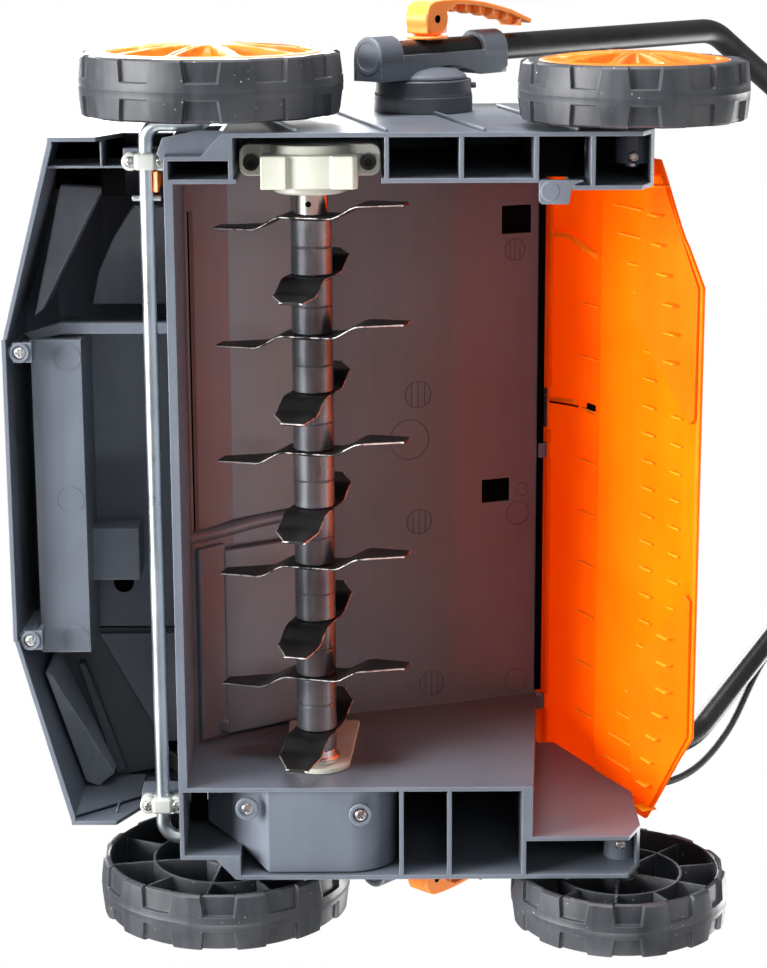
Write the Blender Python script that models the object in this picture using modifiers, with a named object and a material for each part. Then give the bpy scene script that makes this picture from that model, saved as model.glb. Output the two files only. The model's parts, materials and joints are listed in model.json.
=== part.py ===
# Electric lawn aerator: a scarifying roller in a moulded deck, on four wheels, with a folding handle.
# Units are metres. X is the machine's left, Y its rear, Z up.
# The deck is laid out level; the machine empty then pitches it so that all four wheels stand on Z = 0.
from math import acos, atan2, cos, degrees, hypot, pi, radians, sin, tan

import bmesh
import bpy
from mathutils import Matrix, Vector

# Fits
GAP = 0.0003
BORE_GAP = 0.0003
WALL = 0.003

# How far a cutter runs past what it cuts and how deep a joined body sits in the next, then a step that
# keeps two faces out of one plane, and a length beyond any edge of the deck
CUT_PAST = 0.01
JOIN_DEPTH = 0.001
FACE_STEP = 0.0004
BEYOND = 0.2
HUGE = 0.5

# Deck, heights above the ground line at the rear wheels
DECK_HALF_WIDTH = 0.260
RAIL_LEFT = 0.033
RAIL_RIGHT = 0.068
RIM_Z = 0.040
FRONT_WALL_Y = -0.143
REAR_EDGE_LOW_Y = 0.100
REAR_EDGE_Y = 0.118
ARM_END_Y = 0.180
ARM_TOP_Z = 0.236
ARM_LEFT = 0.038
ARM_RIGHT = 0.031
NARROW_FRONT = 0.015
NARROW_END_Y = -0.118
NARROW_START_Y = -0.104
CEILING = [(-0.137, 0.130), (-0.109, 0.161), (-0.066, 0.186), (-0.008, 0.205), (0.051, 0.223),
           (0.125, 0.2515)]
RAIL_TOP = [(FRONT_WALL_Y, 0.185), (-0.104, 0.205), (-0.013, 0.228), (0.060, 0.258), (0.096, 0.258),
            (0.104, 0.2545), (0.1165, 0.2545)]
RIB = 0.003
ROOF_SHIFT = 0.002
LEFT_RIBS = (0.003, 0.052, 0.101, 0.138)
RIGHT_RIBS = (0.0115, 0.045, 0.097)
CEILING_HOLES = [((0.166, 0.187), (0.088, 0.110)), ((-0.037, -0.019), (0.074, 0.095))]
BEARING_POCKET_ROOM = 0.0025
BEARING_MOUTH_INSET = 0.002
BOLT_BOSS = 0.009
BELT_WINDOW_ROOM = 0.014
BELT_WINDOW_END_Y = -0.085
BELT_WINDOW_LOW_Z = 0.150
AXLE_BOSS = (0.024, 0.002)
AXLE_BOSS_WALL = 0.006
AXLE_BORE_END = 0.030

# Roller
ROLLER_Y = -0.048
ROLLER_Z = 0.088
SHAFT_RADIUS = 0.008
SHAFT_PAST_BELT = 0.012
SHAFT_PAST_CHAMBER = 0.0205
SPACER_RADIUS = 0.014
SPACER_STEPS = 12
SPACER_FLOOR = 0.0008
BLADE_COUNT = 10
BLADE_END_MARGIN = 0.0273
BLADE_THICKNESS = 0.002
BLADE_HALF_LENGTH = 0.065
BLADE_WIDTH = 0.030
BLADE_FLAT = 0.020
BLADE_RISE = 0.009
BLADE_SLOPE = 0.0153
BLADE_TIP_CUT = 0.026
BLADE_BORE_SIDES = 14
BLADE_PHASE = radians(-107)
BLADE_STEP = radians(90)
SLEEVE_RADIUS = 0.0115
SLEEVE_LENGTH = 0.0148
FLANGE_RADIUS = 0.0165
FLANGE_LENGTH = 0.0044

# Roller bearings
BLOCK_WIDTH = 0.0276
BLOCK_HALF_BODY = 0.032
BLOCK_HALF_EARS = 0.047
BLOCK_LOW_Z = 0.046
BLOCK_TOP_Z = 0.1177
EAR_LOW_Z = 0.070
BLOCK_BOSS_RADIUS = 0.025
BLOCK_BOSS_LENGTH = 0.006
BOLT_SPACING = 0.0776
BOLT_RADIUS = 0.003
BOLT_HEAD_RADIUS = 0.0055
BOLT_HEAD_LENGTH = 0.008
BOLT_GRIP = 0.018
BOLT_INSET = 0.0115
BOLT_END_ROOM = 0.002
BOLT_SOCKET_FLOOR = 0.004
BLOCK_PROUD = 0.0048
EAR_SET_BACK = 0.0065
CARRIER_THICKNESS = 0.004
CARRIER_HALF_WIDTH = 0.030
CARRIER_LOW_Z = 0.060
CARRIER_TOP_Z = 0.172
CARRIER_BOSS_RADIUS = 0.019
CARRIER_BOSS_LENGTH = 0.013

# Belt drive
BELT_X = -(DECK_HALF_WIDTH - 0.032)
BELT_WIDTH = 0.012
BELT_THICKNESS = 0.003
PULLEY_WIDTH = 0.016
ROLLER_PULLEY_RADIUS = 0.036
MOTOR_PULLEY_RADIUS = 0.0144

# Motor and its tray
MOTOR_Y = -0.180
MOTOR_Z = 0.258
MOTOR_RADIUS = 0.045
MOTOR_X = (BELT_X + 0.058, 0.020)
MOTOR_NOSE_RADIUS = 0.014
MOTOR_NOSE_LENGTH = 0.006
MOTOR_TAIL_RADIUS = 0.016
MOTOR_TAIL_LENGTH = 0.008
MOTOR_SHAFT_RADIUS = 0.004
MOTOR_SHAFT_ROOM = 0.001
MOTOR_SHAFT_TIP = 0.006
MOTOR_SHAFT_DEPTH = 0.020
TRAY_X = (-0.124, 0.106)
TRAY_LOW_Z = 0.140
TRAY_HIGH_Z = 0.205
TRAY_TOP_Z = 0.240
TRAY_TAB_Z = 0.1235
TRAY_FRONT_Y = -0.2485
TRAY_STEP_Y = -0.213
TRAY_REAR_Y = -0.1465
TRAY_END_LEAN = 0.014
TRAY_CRADLES = (-0.110, -0.020)
TRAY_CRADLE_WIDTH = 0.005
TRAY_CRADLE_DROP = 0.006
TRAY_TAB_WIDTH = 0.014
TRAY_TAB_BORDER = 0.005
TRAY_SCREWS = [(0.100, -0.2540), (-0.110, -0.2540)]
TRAY_SCREW_RADIUS = 0.002

# Hood
HOOD_HALF_WIDTH = DECK_HALF_WIDTH - 0.010
HOOD_FRONT_HALF_WIDTH = 0.110
HOOD_TAPER_Y = -0.229
HOOD_TAPER_IN = 0.003
HOOD_RIM_Z = 0.120
HOOD_ARCH_Z = 0.152
HOOD_ARCH_Y = -0.180
HOOD_ARCH_RUN = 0.016
HOOD_BOSS_TOP_Z = 0.190
HOOD_BOSS_WALL = 0.0026
HOOD_BOSS_DEPTH = 0.020
HOOD_SLOT_GAP = 0.003
HOOD_SLOT_BELOW = 0.015
HOOD_REAR_Y = -0.034
HOOD_SEAT = 0.0005
HOOD_PROFILE = [(-0.266, HOOD_RIM_Z), (-0.262, 0.200), (-0.246, 0.262), (-0.215, 0.305), (-0.170, 0.324),
                (-0.120, 0.320), (-0.070, 0.296), (HOOD_REAR_Y, 0.262)]
GLAND_X = -(HOOD_HALF_WIDTH - 0.050)
GLAND_RADIUS = 0.008
GLAND_TIP_RADIUS = 0.006
GLAND_LENGTH = 0.008

# Belt cover
COVER_Z = 0.0433
COVER_THICKNESS = 0.003

# Wheels
FRONT_WHEEL_RADIUS = 0.091
FRONT_WHEEL_WIDTH = 0.041
FRONT_WHEEL_X = DECK_HALF_WIDTH + 0.007
REAR_WHEEL_RADIUS = 0.0775
REAR_WHEEL_WIDTH = 0.039
REAR_WHEEL_X = DECK_HALF_WIDTH + 0.005
REAR_WHEEL_Y = 0.167
WHEEL_SIDES = 28
WHEEL_RIM = 0.007
WHEEL_LIP = 0.014
WHEEL_RECESS = 0.008
WHEEL_WEB = 0.004
WHEEL_HUB_RADIUS = 0.014
WHEEL_HUB_START = 0.006
CAP_SKIN = 0.0025
CAP_CROWN = 0.003
CAP_SHOULDER = (0.8, 0.45)
AXLE_RADIUS = 0.005
AXLE_HEAD_RADIUS = 0.008
AXLE_HEAD = 0.003
AXLE_END = 0.027

# Front axle, its clamps and the height lever
ROD_RADIUS = 0.005
ROD_Y = -0.1618
ROD_Z = 0.121
CRANK_X = FRONT_WHEEL_X - 0.008
CRANK_DY = 0.0455
CRANK_DZ = -0.006
ROD_BEND = 0.012
CLAMP_X = DECK_HALF_WIDTH - 0.0325
CLAMP_WIDTH = 0.012
CLAMP_LENGTH = 0.028
CLAMP_DEPTH = 0.0085
SADDLE_HEIGHT = 0.024
SADDLE_BORDER = 0.002
PIN_X = CLAMP_X - 0.0195
PIN_RADIUS = 0.002
PIN_LENGTH = 0.020
LEVER_X = (CLAMP_X - 0.015, CLAMP_X - 0.001)
LEVER_HUB_RADIUS = 0.011
LEVER_WIDTH = 0.016
LEVER_HEIGHT = 0.228
LEVER_STEM_INSET = 0.001
LEVER_STEM_START = 0.004
LEVER_KNOB_DROP = 0.012
LEVER_KNOB = (0.022, 0.034, 0.034)
LEVER_SWING = radians(15)

# Rear flap
FLAP_HINGE_Y = 0.1225
FLAP_HINGE_Z = 0.2585
FLAP_ANGLE = radians(24.5)
FLAP_THICKNESS = 0.0025
FLAP_X = (-(DECK_HALF_WIDTH - 0.017), DECK_HALF_WIDTH - 0.026)
FLAP_LENGTH = 0.222
FLAP_START = 0.003
FLAP_CORNER_X = 0.080
FLAP_CORNER_Z = 0.060
HINGE_ROD_RADIUS = 0.0025
HINGE_BARREL_RADIUS = 0.006
HINGE_LUGS = (-(DECK_HALF_WIDTH - 0.060), 0.0, DECK_HALF_WIDTH - 0.060)
HINGE_LUG_WIDTH = 0.011
HINGE_LUG_FOOT = 0.014
HINGE_LUG_DEPTH = 0.004
HINGE_LUG_RISE = 0.002
HINGE_LUG_ROOM = 0.002
HINGE_LUG_SWING = 0.003
HINGE_ROD_PAST = 0.003
SPRING_X = (0.020, 0.044)
SPRING_ROOM = 0.003
SPRING_TURNS = 5
SPRING_RADIUS = 0.0048
SPRING_WIRE = 0.0007
SPRING_LEG = 0.0075
SPRING_FLAP_LEG = 0.0054

# Handle; S runs up along the tubes from the turret's axis
HANDLE_SLOPE = radians(47)
TURRET_Y = 0.0295
TURRET_Z = 0.199
TURRET_RADIUS = 0.035
TURRET_LENGTH = 0.0225
TUBE_RADIUS = 0.0095
TUBE_WALL = 0.0012
TUBE_X = DECK_HALF_WIDTH + 0.041
TUBE_START_S = -0.049
TUBE_BEND_S = 0.350
TUBE_UPPER_X = 0.205
TUBE_UPPER_S = 0.523
FOLD_S = 0.600
TUBE_END_S = FOLD_S + 0.040
TUBE_BEND = 0.060
CRADLE_S = (-0.058, 0.078)
CRADLE_TROUGH_S = (-0.034, 0.052)
CRADLE_WALL = 0.004
CRADLE_FLOOR = 0.003
CRADLE_RISE = 0.002
CRADLE_DISC_RADIUS = 0.031
CLAMP_BOLT_RADIUS = 0.003
CAM_PIVOT_X = TUBE_X + TUBE_RADIUS + 0.014
CAM_PIVOT_S = 0.004
CAM_RADIUS = 0.012
CAM_HALF_WIDTH = 0.0105
CAM_EYE_RADIUS = 0.005
CAM_EYE_HALF_WIDTH = 0.005
CAM_ARM_LENGTH = 0.104
CAM_BOLT_ROOM = 0.0006
CAM_SWEEP = 0.02
CAM_SPARE_ANGLE = 15
CAM_OPENING = radians(100)
UPPER_START_S = FOLD_S - 0.040
HANDLE_LENGTH = 1.010
LEG_SPACE = 0.001
UPPER_CORNER = 0.070
KNOB_RADIUS = 0.018
KNOB_LENGTH = 0.020
KNOB_NECK = 0.003
KNOB_NECK_RADIUS = 0.009
KNOB_LOBES = 6
KNOB_WAVE = 0.11
KNOB_BOLT_END = 0.004
GRIP_HALF_LENGTH = 0.105
GRIP_WALL = 0.0045
BOX_BELOW_TOP = 0.160
BOX_LENGTH = 0.080
BOX_OUT = TUBE_RADIUS + 0.009
BOX_IN = TUBE_RADIUS + 0.0255
BOX_LOW_N = -0.020
BOX_TOP_N = 0.035
BAIL_RADIUS = 0.004
BAIL_PIVOT_BELOW_TOP = 0.105
BAIL_RISE_S = 0.090
BAIL_RISE_N = 0.065
BAIL_INSET = 0.031
BAIL_IN_TUBE = 0.004
BAIL_IN_BOX = 0.010
BAIL_END_ROOM = 0.002
BAIL_BOX_GAP = 0.006
BAIL_BEND = 0.012
BUTTON_RADIUS = 0.007
BUTTON_LENGTH = 0.015
BUTTON_PROUD = 0.006
BUTTON_TRAVEL = 0.0055
BUTTON_ASIDE = 0.018
BUTTON_S = 0.050

# Side outline of the cam lever: its heel as (S, distance outwards), then the arm as (share of its
# length, distance outwards), out along its top and back along its underside
CAM_HEEL = [(-0.008, -0.004), (-0.011, 0.004), (-0.006, 0.0125)]
CAM_ARM = [(0.20, 0.013), (0.50, 0.010), (0.78, 0.004), (1.0, -0.004), (0.98, -0.0085), (0.77, -0.0085),
           (0.48, -0.002), (0.24, 0.001), (0.10, -0.003)]

# Power cable, chosen by hand: first from the hood to the right tube, as the distance outside the
# lower tube's line with Y and Z of the deck, then beside the slanted tube at a few S, and last up to
# the switch box as (X, S, N), N square to the tubes and up
CABLE_RADIUS = 0.003
CABLE_START = 0.0006
CABLE_STRAIGHT = 0.012
CABLE_IN_BOX = 0.001
CABLE_SPACING = 0.015
CABLE_ROUTE = [(-0.086, 0.012, 0.332), (-0.049, 0.080, 0.350), (-0.001, 0.158, 0.372),
               (0.025, 0.222, 0.402), (0.028, 0.264, 0.441), (0.008, 0.300, 0.483)]
CABLE_OVER = TUBE_RADIUS + CABLE_RADIUS + 0.0013
CABLE_ON_TUBE = [(0.450, 0.001), (0.490, 0.003)]
BOX_S = HANDLE_LENGTH - BOX_BELOW_TOP
ABOVE_FOLD = FOLD_S + 0.020
UPPER_CABLE = [(TUBE_UPPER_X + 0.0140, FOLD_S - 0.070, 0.008),
               (TUBE_UPPER_X + 0.0020, FOLD_S - 0.030, CABLE_OVER + 0.0007),
               (TUBE_UPPER_X - 0.0030, ABOVE_FOLD, CABLE_OVER + 0.0010),
               (TUBE_UPPER_X - 0.0120, ABOVE_FOLD + (BOX_S - ABOVE_FOLD) * 0.22, CABLE_OVER + 0.0007),
               (TUBE_UPPER_X - 0.0180, ABOVE_FOLD + (BOX_S - ABOVE_FOLD) * 0.44, CABLE_OVER),
               (TUBE_UPPER_X - 0.0190, ABOVE_FOLD + (BOX_S - ABOVE_FOLD) * 0.74, CABLE_OVER)]

CHAMBER_LEFT = DECK_HALF_WIDTH - RAIL_LEFT
CHAMBER_RIGHT = -(DECK_HALF_WIDTH - RAIL_RIGHT)
BLADE_PITCH = (CHAMBER_LEFT - CHAMBER_RIGHT - 2 * BLADE_END_MARGIN) / (BLADE_COUNT - 1)
FIRST_BLADE = CHAMBER_LEFT - BLADE_END_MARGIN


# Scene, materials and empties

def clear_scene():
    for old in list(bpy.data.objects):
        bpy.data.objects.remove(old, do_unlink=True)


def new_collection(name):
    collection = bpy.data.collections.new(name)
    bpy.context.scene.collection.children.link(collection)
    return collection


clear_scene()
PARTS = new_collection("lawn_aerator")
CUTTERS = new_collection("cutters")

FINISHES = {
    "deck_plastic": ((0.105, 0.118, 0.135, 1.0), 0.45, 0.0),
    "orange_plastic": ((1.0, 0.22, 0.0, 1.0), 0.38, 0.0),
    "tyre_plastic": ((0.022, 0.023, 0.025, 1.0), 0.55, 0.0),
    "nylon": ((0.66, 0.66, 0.55, 1.0), 0.5, 0.0),
    "black_plastic": ((0.02, 0.02, 0.022, 1.0), 0.4, 0.0),
    "zinc": ((0.62, 0.65, 0.68, 1.0), 0.3, 1.0),
    "black_steel": ((0.018, 0.018, 0.02, 1.0), 0.3, 0.6),
    "tube_paint": ((0.012, 0.012, 0.013, 1.0), 0.15, 0.0),
    "rubber": ((0.015, 0.015, 0.016, 1.0), 0.7, 0.0),
    "foam": ((0.03, 0.03, 0.03, 1.0), 0.9, 0.0),
    "motor_steel": ((0.3, 0.31, 0.32, 1.0), 0.4, 0.9),
}


def finish_material(node, finish):
    colour, roughness, metallic = FINISHES[finish]
    material = bpy.data.materials.new(node)
    material.use_nodes = True
    shader = material.node_tree.nodes["Principled BSDF"]
    shader.inputs["Base Color"].default_value = colour
    shader.inputs["Roughness"].default_value = roughness
    shader.inputs["Metallic"].default_value = metallic
    return material


def empty(name, location, parent=None, turn=0.0):
    guide = bpy.data.objects.new(name, None)
    guide.location = location
    guide.rotation_euler = (turn, 0, 0)
    guide.parent = parent
    PARTS.objects.link(guide)
    return guide


# Meshes

def tidy_mesh(work, name="shape"):
    bmesh.ops.remove_doubles(work, verts=work.verts, dist=1e-6)
    bmesh.ops.recalc_face_normals(work, faces=work.faces)
    mesh = bpy.data.meshes.new(name)
    work.to_mesh(mesh)
    work.free()
    return mesh


def box(x, y, z):
    """A box between pairs of X, Y and Z, in either order."""
    spans = [sorted(pair) for pair in (x, y, z)]
    size = Vector([high - low for low, high in spans])
    centre = Vector([(high + low) / 2 for low, high in spans])
    work = bmesh.new()
    bmesh.ops.create_cube(work, size=1.0,
                          matrix=Matrix.Translation(centre) @ Matrix.Diagonal(size).to_4x4())
    return tidy_mesh(work)


AXIS_TURN = {"X": Matrix.Rotation(pi / 2, 4, "Y"), "Y": Matrix.Rotation(-pi / 2, 4, "X"),
             "Z": Matrix.Identity(4)}


def rod(axis, ends, centre, radius, sides=20):
    """A cylinder along an axis between two ends, about a centre in the other two coordinates."""
    low, high = sorted(ends)
    middle = list(centre)
    middle.insert("XYZ".index(axis), (low + high) / 2)
    place = Matrix.Translation(middle) @ AXIS_TURN[axis]
    work = bmesh.new()
    bmesh.ops.create_cone(work, cap_ends=True, segments=sides, radius1=radius, radius2=radius,
                          depth=high - low, matrix=place)
    return tidy_mesh(work)


def curve_mesh(curve, place):
    """A curve's surface as a welded mesh, moved by a matrix."""
    holder = bpy.data.objects.new("holder", curve)
    bpy.context.scene.collection.objects.link(holder)
    graph = bpy.context.evaluated_depsgraph_get()
    raw = bpy.data.meshes.new_from_object(holder.evaluated_get(graph))
    work = bmesh.new()
    work.from_mesh(raw)
    bmesh.ops.transform(work, matrix=place, verts=work.verts)
    bpy.data.objects.remove(holder, do_unlink=True)
    bpy.data.meshes.remove(raw)
    return tidy_mesh(work)


PLANE_TURN = {
    "X": Matrix(((0, 0, 1, 0), (1, 0, 0, 0), (0, 1, 0, 0), (0, 0, 0, 1))),
    "Y": Matrix(((0, 1, 0, 0), (0, 0, 1, 0), (1, 0, 0, 0), (0, 0, 0, 1))),
    "Z": Matrix.Identity(4),
}


def prism(axis, ends, *outlines):
    """Flat outlines drawn out along an axis: (Y, Z) for X, (Z, X) for Y and (X, Y) for Z."""
    low, high = sorted(ends)
    curve = bpy.data.curves.new("outline", "CURVE")
    curve.dimensions = "2D"
    curve.fill_mode = "BOTH"
    curve.extrude = (high - low) / 2
    for outline in outlines:
        spline = curve.splines.new("POLY")
        spline.points.add(len(outline) - 1)
        for point, (a, b) in zip(spline.points, outline):
            point.co = (a, b, 0, 1)
        spline.use_cyclic_u = True
    return curve_mesh(curve, PLANE_TURN[axis] @ Matrix.Translation((0, 0, (low + high) / 2)))


def bent_rod(points, radius, resolution=2):
    """A round rod along a path of points."""
    curve = bpy.data.curves.new("path", "CURVE")
    curve.dimensions = "3D"
    curve.bevel_depth = radius
    curve.bevel_resolution = resolution
    curve.use_fill_caps = True
    spline = curve.splines.new("POLY")
    spline.points.add(len(points) - 1)
    for point, place in zip(spline.points, points):
        point.co = (*place, 1)
    return curve_mesh(curve, Matrix.Identity(4))


def rounded_path(corners, radius, steps=5):
    """The corners' path with each inner corner turned as an arc of the radius."""
    corners = [Vector(corner) for corner in corners]
    path = [corners[0]]
    for before, corner, after in zip(corners, corners[1:], corners[2:]):
        back = (before - corner).normalized()
        ahead = (after - corner).normalized()
        half = back.angle(ahead) / 2
        centre = corner + (back + ahead).normalized() * (radius / sin(half))
        start = corner + back * (radius / tan(half)) - centre
        end = corner + ahead * (radius / tan(half)) - centre
        sweep = start.angle(end)
        for step in range(steps + 1):
            t = step / steps
            path.append(centre + (start * sin((1 - t) * sweep) + end * sin(t * sweep)) / sin(sweep))
    path.append(corners[-1])
    return path


def smooth_path(points, spacing):
    """A smooth curve through the points: each run is a cubic whose end slopes follow the runs beside it."""
    points = [Vector(point) for point in points]
    runs = [(b - a).normalized() for a, b in zip(points, points[1:])]
    slopes = [runs[0], *[(a + b).normalized() for a, b in zip(runs, runs[1:])], runs[-1]]
    path = []
    for a, b, slope_a, slope_b in zip(points, points[1:], slopes, slopes[1:]):
        length = (b - a).length
        steps = max(1, round(length / spacing))
        for step in range(steps):
            t = step / steps
            ease = t * t * (3 - 2 * t)
            bow = slope_a * (t ** 3 - 2 * t ** 2 + t) + slope_b * (t ** 3 - t ** 2)
            path.append(a * (1 - ease) + b * ease + bow * length)
    path.append(points[-1])
    return path


# Objects

def place_object(name, mesh, parent, collection, location=(0, 0, 0), rotation=(0, 0, 0)):
    thing = bpy.data.objects.new(name, mesh)
    thing.location = location
    thing.rotation_euler = rotation
    thing.parent = parent
    collection.objects.link(thing)
    return thing


def part(name, mesh, parent, finish, location=(0, 0, 0), rotation=(0, 0, 0)):
    thing = place_object(name, mesh, parent, PARTS, location, rotation)
    mesh.materials.append(finish_material(name, finish))
    return thing


def combine(thing, mesh, operation):
    other = place_object(thing.name + "_" + operation.lower(), mesh, thing.parent, CUTTERS,
                         thing.location, thing.rotation_euler)
    use_as_cutter(thing, other, operation)


def use_as_cutter(thing, other, operation):
    other.hide_render = True
    other.display_type = "WIRE"
    boolean = thing.modifiers.new(operation.lower(), "BOOLEAN")
    boolean.operation = operation
    boolean.solver = "EXACT"
    boolean.object = other


def cut(thing, *meshes):
    for mesh in meshes:
        combine(thing, mesh, "DIFFERENCE")


def join(thing, *meshes):
    for mesh in meshes:
        combine(thing, mesh, "UNION")


def turned_part(name, profile, parent, finish, side=1, closed=True, steps=36, location=(0, 0, 0)):
    """A profile of (X, radius), outer side from high X to low X, turned about the X axis."""
    mesh = bpy.data.meshes.new(name)
    count = len(profile)
    edges = [(i, i + 1) for i in range(count - 1)]
    if closed:
        edges.append((count - 1, 0))
    mesh.from_pydata([(radius, 0, x) for x, radius in profile], edges, [])
    thing = part(name, mesh, parent, finish, location, (0, side * pi / 2, 0))
    screw = thing.modifiers.new("turn", "SCREW")
    screw.steps = steps
    screw.render_steps = steps
    screw.use_merge_vertices = True
    screw.merge_threshold = 0.00001
    return thing


def round_shading(thing):
    thing.data.shade_smooth()
    thing.data.set_sharp_from_angle(angle=radians(35))


def profile_height(profile, y):
    """The height of a polyline of (Y, Z) at a Y."""
    for (y0, z0), (y1, z1) in zip(profile, profile[1:]):
        if y0 <= y <= y1:
            return z0 + (z1 - z0) * (y - y0) / (y1 - y0)
    return profile[-1][1] if y > profile[-1][0] else profile[0][1]


def between(profile, low, high):
    """A polyline of (Y, Z) cut to a range of Y."""
    inner = [point for point in profile if low < point[0] < high]
    return [(low, profile_height(profile, low)), *inner, (high, profile_height(profile, high))]


def mirrored(side, *values):
    return tuple(side * value for value in values)


def arc(centre, radius, start, end, steps):
    """Points on a circle from one angle to another, in degrees."""
    angles = [radians(start + (end - start) * i / steps) for i in range(steps + 1)]
    return [(centre[0] + radius * cos(a), centre[1] + radius * sin(a)) for a in angles]


# Deck

def flap_line(z):
    return FLAP_HINGE_Y + (FLAP_HINGE_Z - z) * tan(FLAP_ANGLE)


def roof_line(lift):
    """The top of the chamber's roof, raised by a lift."""
    return [(y - ROOF_SHIFT, z + WALL + lift) for y, z in CEILING]


def arm_outline():
    """The deck's side outline: rim, front wall, rail top and the arm behind, up to the closed flap."""
    rest = FLAP_THICKNESS / 2 / cos(FLAP_ANGLE) + 0.0005
    corner_z = FLAP_HINGE_Z - (ARM_END_Y + rest - FLAP_HINGE_Y) / tan(FLAP_ANGLE)
    arm = [(REAR_EDGE_Y, ARM_TOP_Z), (flap_line(ARM_TOP_Z) - rest, ARM_TOP_Z), (ARM_END_Y, corner_z),
           (ARM_END_Y, RIM_Z + 0.022), (ARM_END_Y - 0.010, RIM_Z)]
    return [(FRONT_WALL_Y, RIM_Z), *RAIL_TOP, *arm]


def pocket(x, y):
    """A rail pocket, open below, that leaves the wall above it and beside each step of the top."""
    outer = arm_outline()[1:-2]
    knots = [a + shift for a, b in outer for shift in (-WALL, 0, WALL)]
    places = [y[0], *sorted(a for a in knots if y[0] < a < y[1]), y[1]]
    top = [(a, min(profile_height(outer, a + shift) for shift in (-WALL, 0, WALL)) - WALL) for a in places]
    return prism("X", x, [(y[0], 0), *top, (y[1], 0)])


def make_deck(machine):
    half = DECK_HALF_WIDTH
    deck = part("deck", prism("X", (-half, half), arm_outline()), machine, "deck_plastic")
    roof = roof_line(0)
    roof_front = roof[0][1]
    cut(deck, prism("X", (CHAMBER_RIGHT, CHAMBER_LEFT),
                    [(-BEYOND, HUGE), (-BEYOND, roof_front), *roof, (BEYOND, roof[-1][1]), (BEYOND, HUGE)]))
    cut(deck, prism("X", (CHAMBER_RIGHT, CHAMBER_LEFT),
                    [(CEILING[0][0], 0), *CEILING, (CEILING[-1][0], 0)]))
    rear = [(REAR_EDGE_LOW_Y, 0), (REAR_EDGE_Y, CEILING[-1][1]), (REAR_EDGE_Y, HUGE), (HUGE, HUGE),
            (HUGE, 0)]
    cut(deck, prism("X", (-half + ARM_RIGHT, half - ARM_LEFT), rear))
    add_left_rail(deck)
    add_right_rail(deck)
    for side in (1, -1):
        inner, outer, past = mirrored(side, half - NARROW_FRONT, half + HOOD_SEAT, half + 2 * CUT_PAST)
        nose = [(inner, -BEYOND), (inner, NARROW_END_Y), (outer, NARROW_START_Y), (past, NARROW_START_Y),
                (past, -BEYOND)]
        cut(deck, prism("Z", (0, HUGE), nose))
        add_saddle(deck, side)
        add_axle_boss(deck, side)
    for x, y in CEILING_HOLES:
        cut(deck, box(x, y, (CEILING[2][1], HUGE)))
    add_hinge_lugs(deck)


def add_left_rail(deck):
    outer = DECK_HALF_WIDTH - WALL
    inner = CHAMBER_LEFT + WALL
    arm_inner = DECK_HALF_WIDTH - ARM_LEFT + WALL
    room = BLOCK_HALF_EARS + BEARING_POCKET_ROOM
    bearing = (ROLLER_Y - room, ROLLER_Y + room)
    mouth = (bearing[0] + BEARING_MOUTH_INSET, bearing[1] - BEARING_MOUTH_INSET)
    boss = BOLT_SPACING / 2 - BOLT_BOSS
    cut(deck, pocket((inner, outer - NARROW_FRONT), (FRONT_WALL_Y + WALL, bearing[0] - RIB)))
    cut(deck, box((inner, outer), bearing, (0, BLOCK_TOP_Z + GAP)))
    cut(deck, box((CHAMBER_LEFT - CUT_PAST, inner + JOIN_DEPTH), mouth, (0, BLOCK_TOP_Z + GAP)))
    cut(deck, pocket((inner, outer), (ROLLER_Y - boss, ROLLER_Y + boss)))
    edges = [*LEFT_RIBS, ARM_END_Y - WALL + RIB / 2]
    for low, high in zip(edges, edges[1:]):
        wall = arm_inner if low > REAR_EDGE_LOW_Y else inner
        cut(deck, pocket((wall, outer), (low + RIB / 2, high - RIB / 2)))
    for bolt_y in bolt_rows():
        cut(deck, rod("Z", (BLOCK_TOP_Z - CUT_PAST, BLOCK_TOP_Z + BOLT_GRIP + BOLT_END_ROOM),
                      (bolt_x(), bolt_y), BOLT_RADIUS + BORE_GAP, 16))


def add_right_rail(deck):
    outer = -DECK_HALF_WIDTH + WALL
    inner = CHAMBER_RIGHT - WALL
    arm_inner = -DECK_HALF_WIDTH + ARM_RIGHT - WALL
    cut(deck, pocket((inner, outer + NARROW_FRONT), (FRONT_WALL_Y + WALL, RIGHT_RIBS[0] - RIB / 2)))
    cut(deck, pocket((outer, outer + NARROW_FRONT + JOIN_DEPTH),
                     (NARROW_START_Y + WALL, RIGHT_RIBS[0] - RIB / 2)))
    edges = [*RIGHT_RIBS, ARM_END_Y - WALL + RIB / 2]
    for low, high in zip(edges, edges[1:]):
        wall = arm_inner if low >= RIGHT_RIBS[-1] else inner
        cut(deck, pocket((outer, wall), (low + RIB / 2, high - RIB / 2)))
    window = BELT_WIDTH / 2 + BELT_WINDOW_ROOM
    cut(deck, box((BELT_X - window, BELT_X + window), (FRONT_WALL_Y - CUT_PAST, BELT_WINDOW_END_Y),
                  (BELT_WINDOW_LOW_Z, HUGE)))
    hole = rod("X", (CHAMBER_RIGHT + CUT_PAST, inner - CUT_PAST), (ROLLER_Y, ROLLER_Z),
               CARRIER_BOSS_RADIUS + BORE_GAP, 32)
    cut(deck, hole)


def add_saddle(deck, side):
    """The bracket on the front wall that the rod and its clamp sit under."""
    x = mirrored(side, CLAMP_X, CLAMP_X + CLAMP_WIDTH + SADDLE_BORDER)
    y = (ROD_Y - CLAMP_LENGTH / 2 - SADDLE_BORDER, FRONT_WALL_Y + 2 * JOIN_DEPTH)
    low = ROD_Z + ROD_RADIUS + GAP
    join(deck, box(x, y, (low, low + SADDLE_HEIGHT)))


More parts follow.
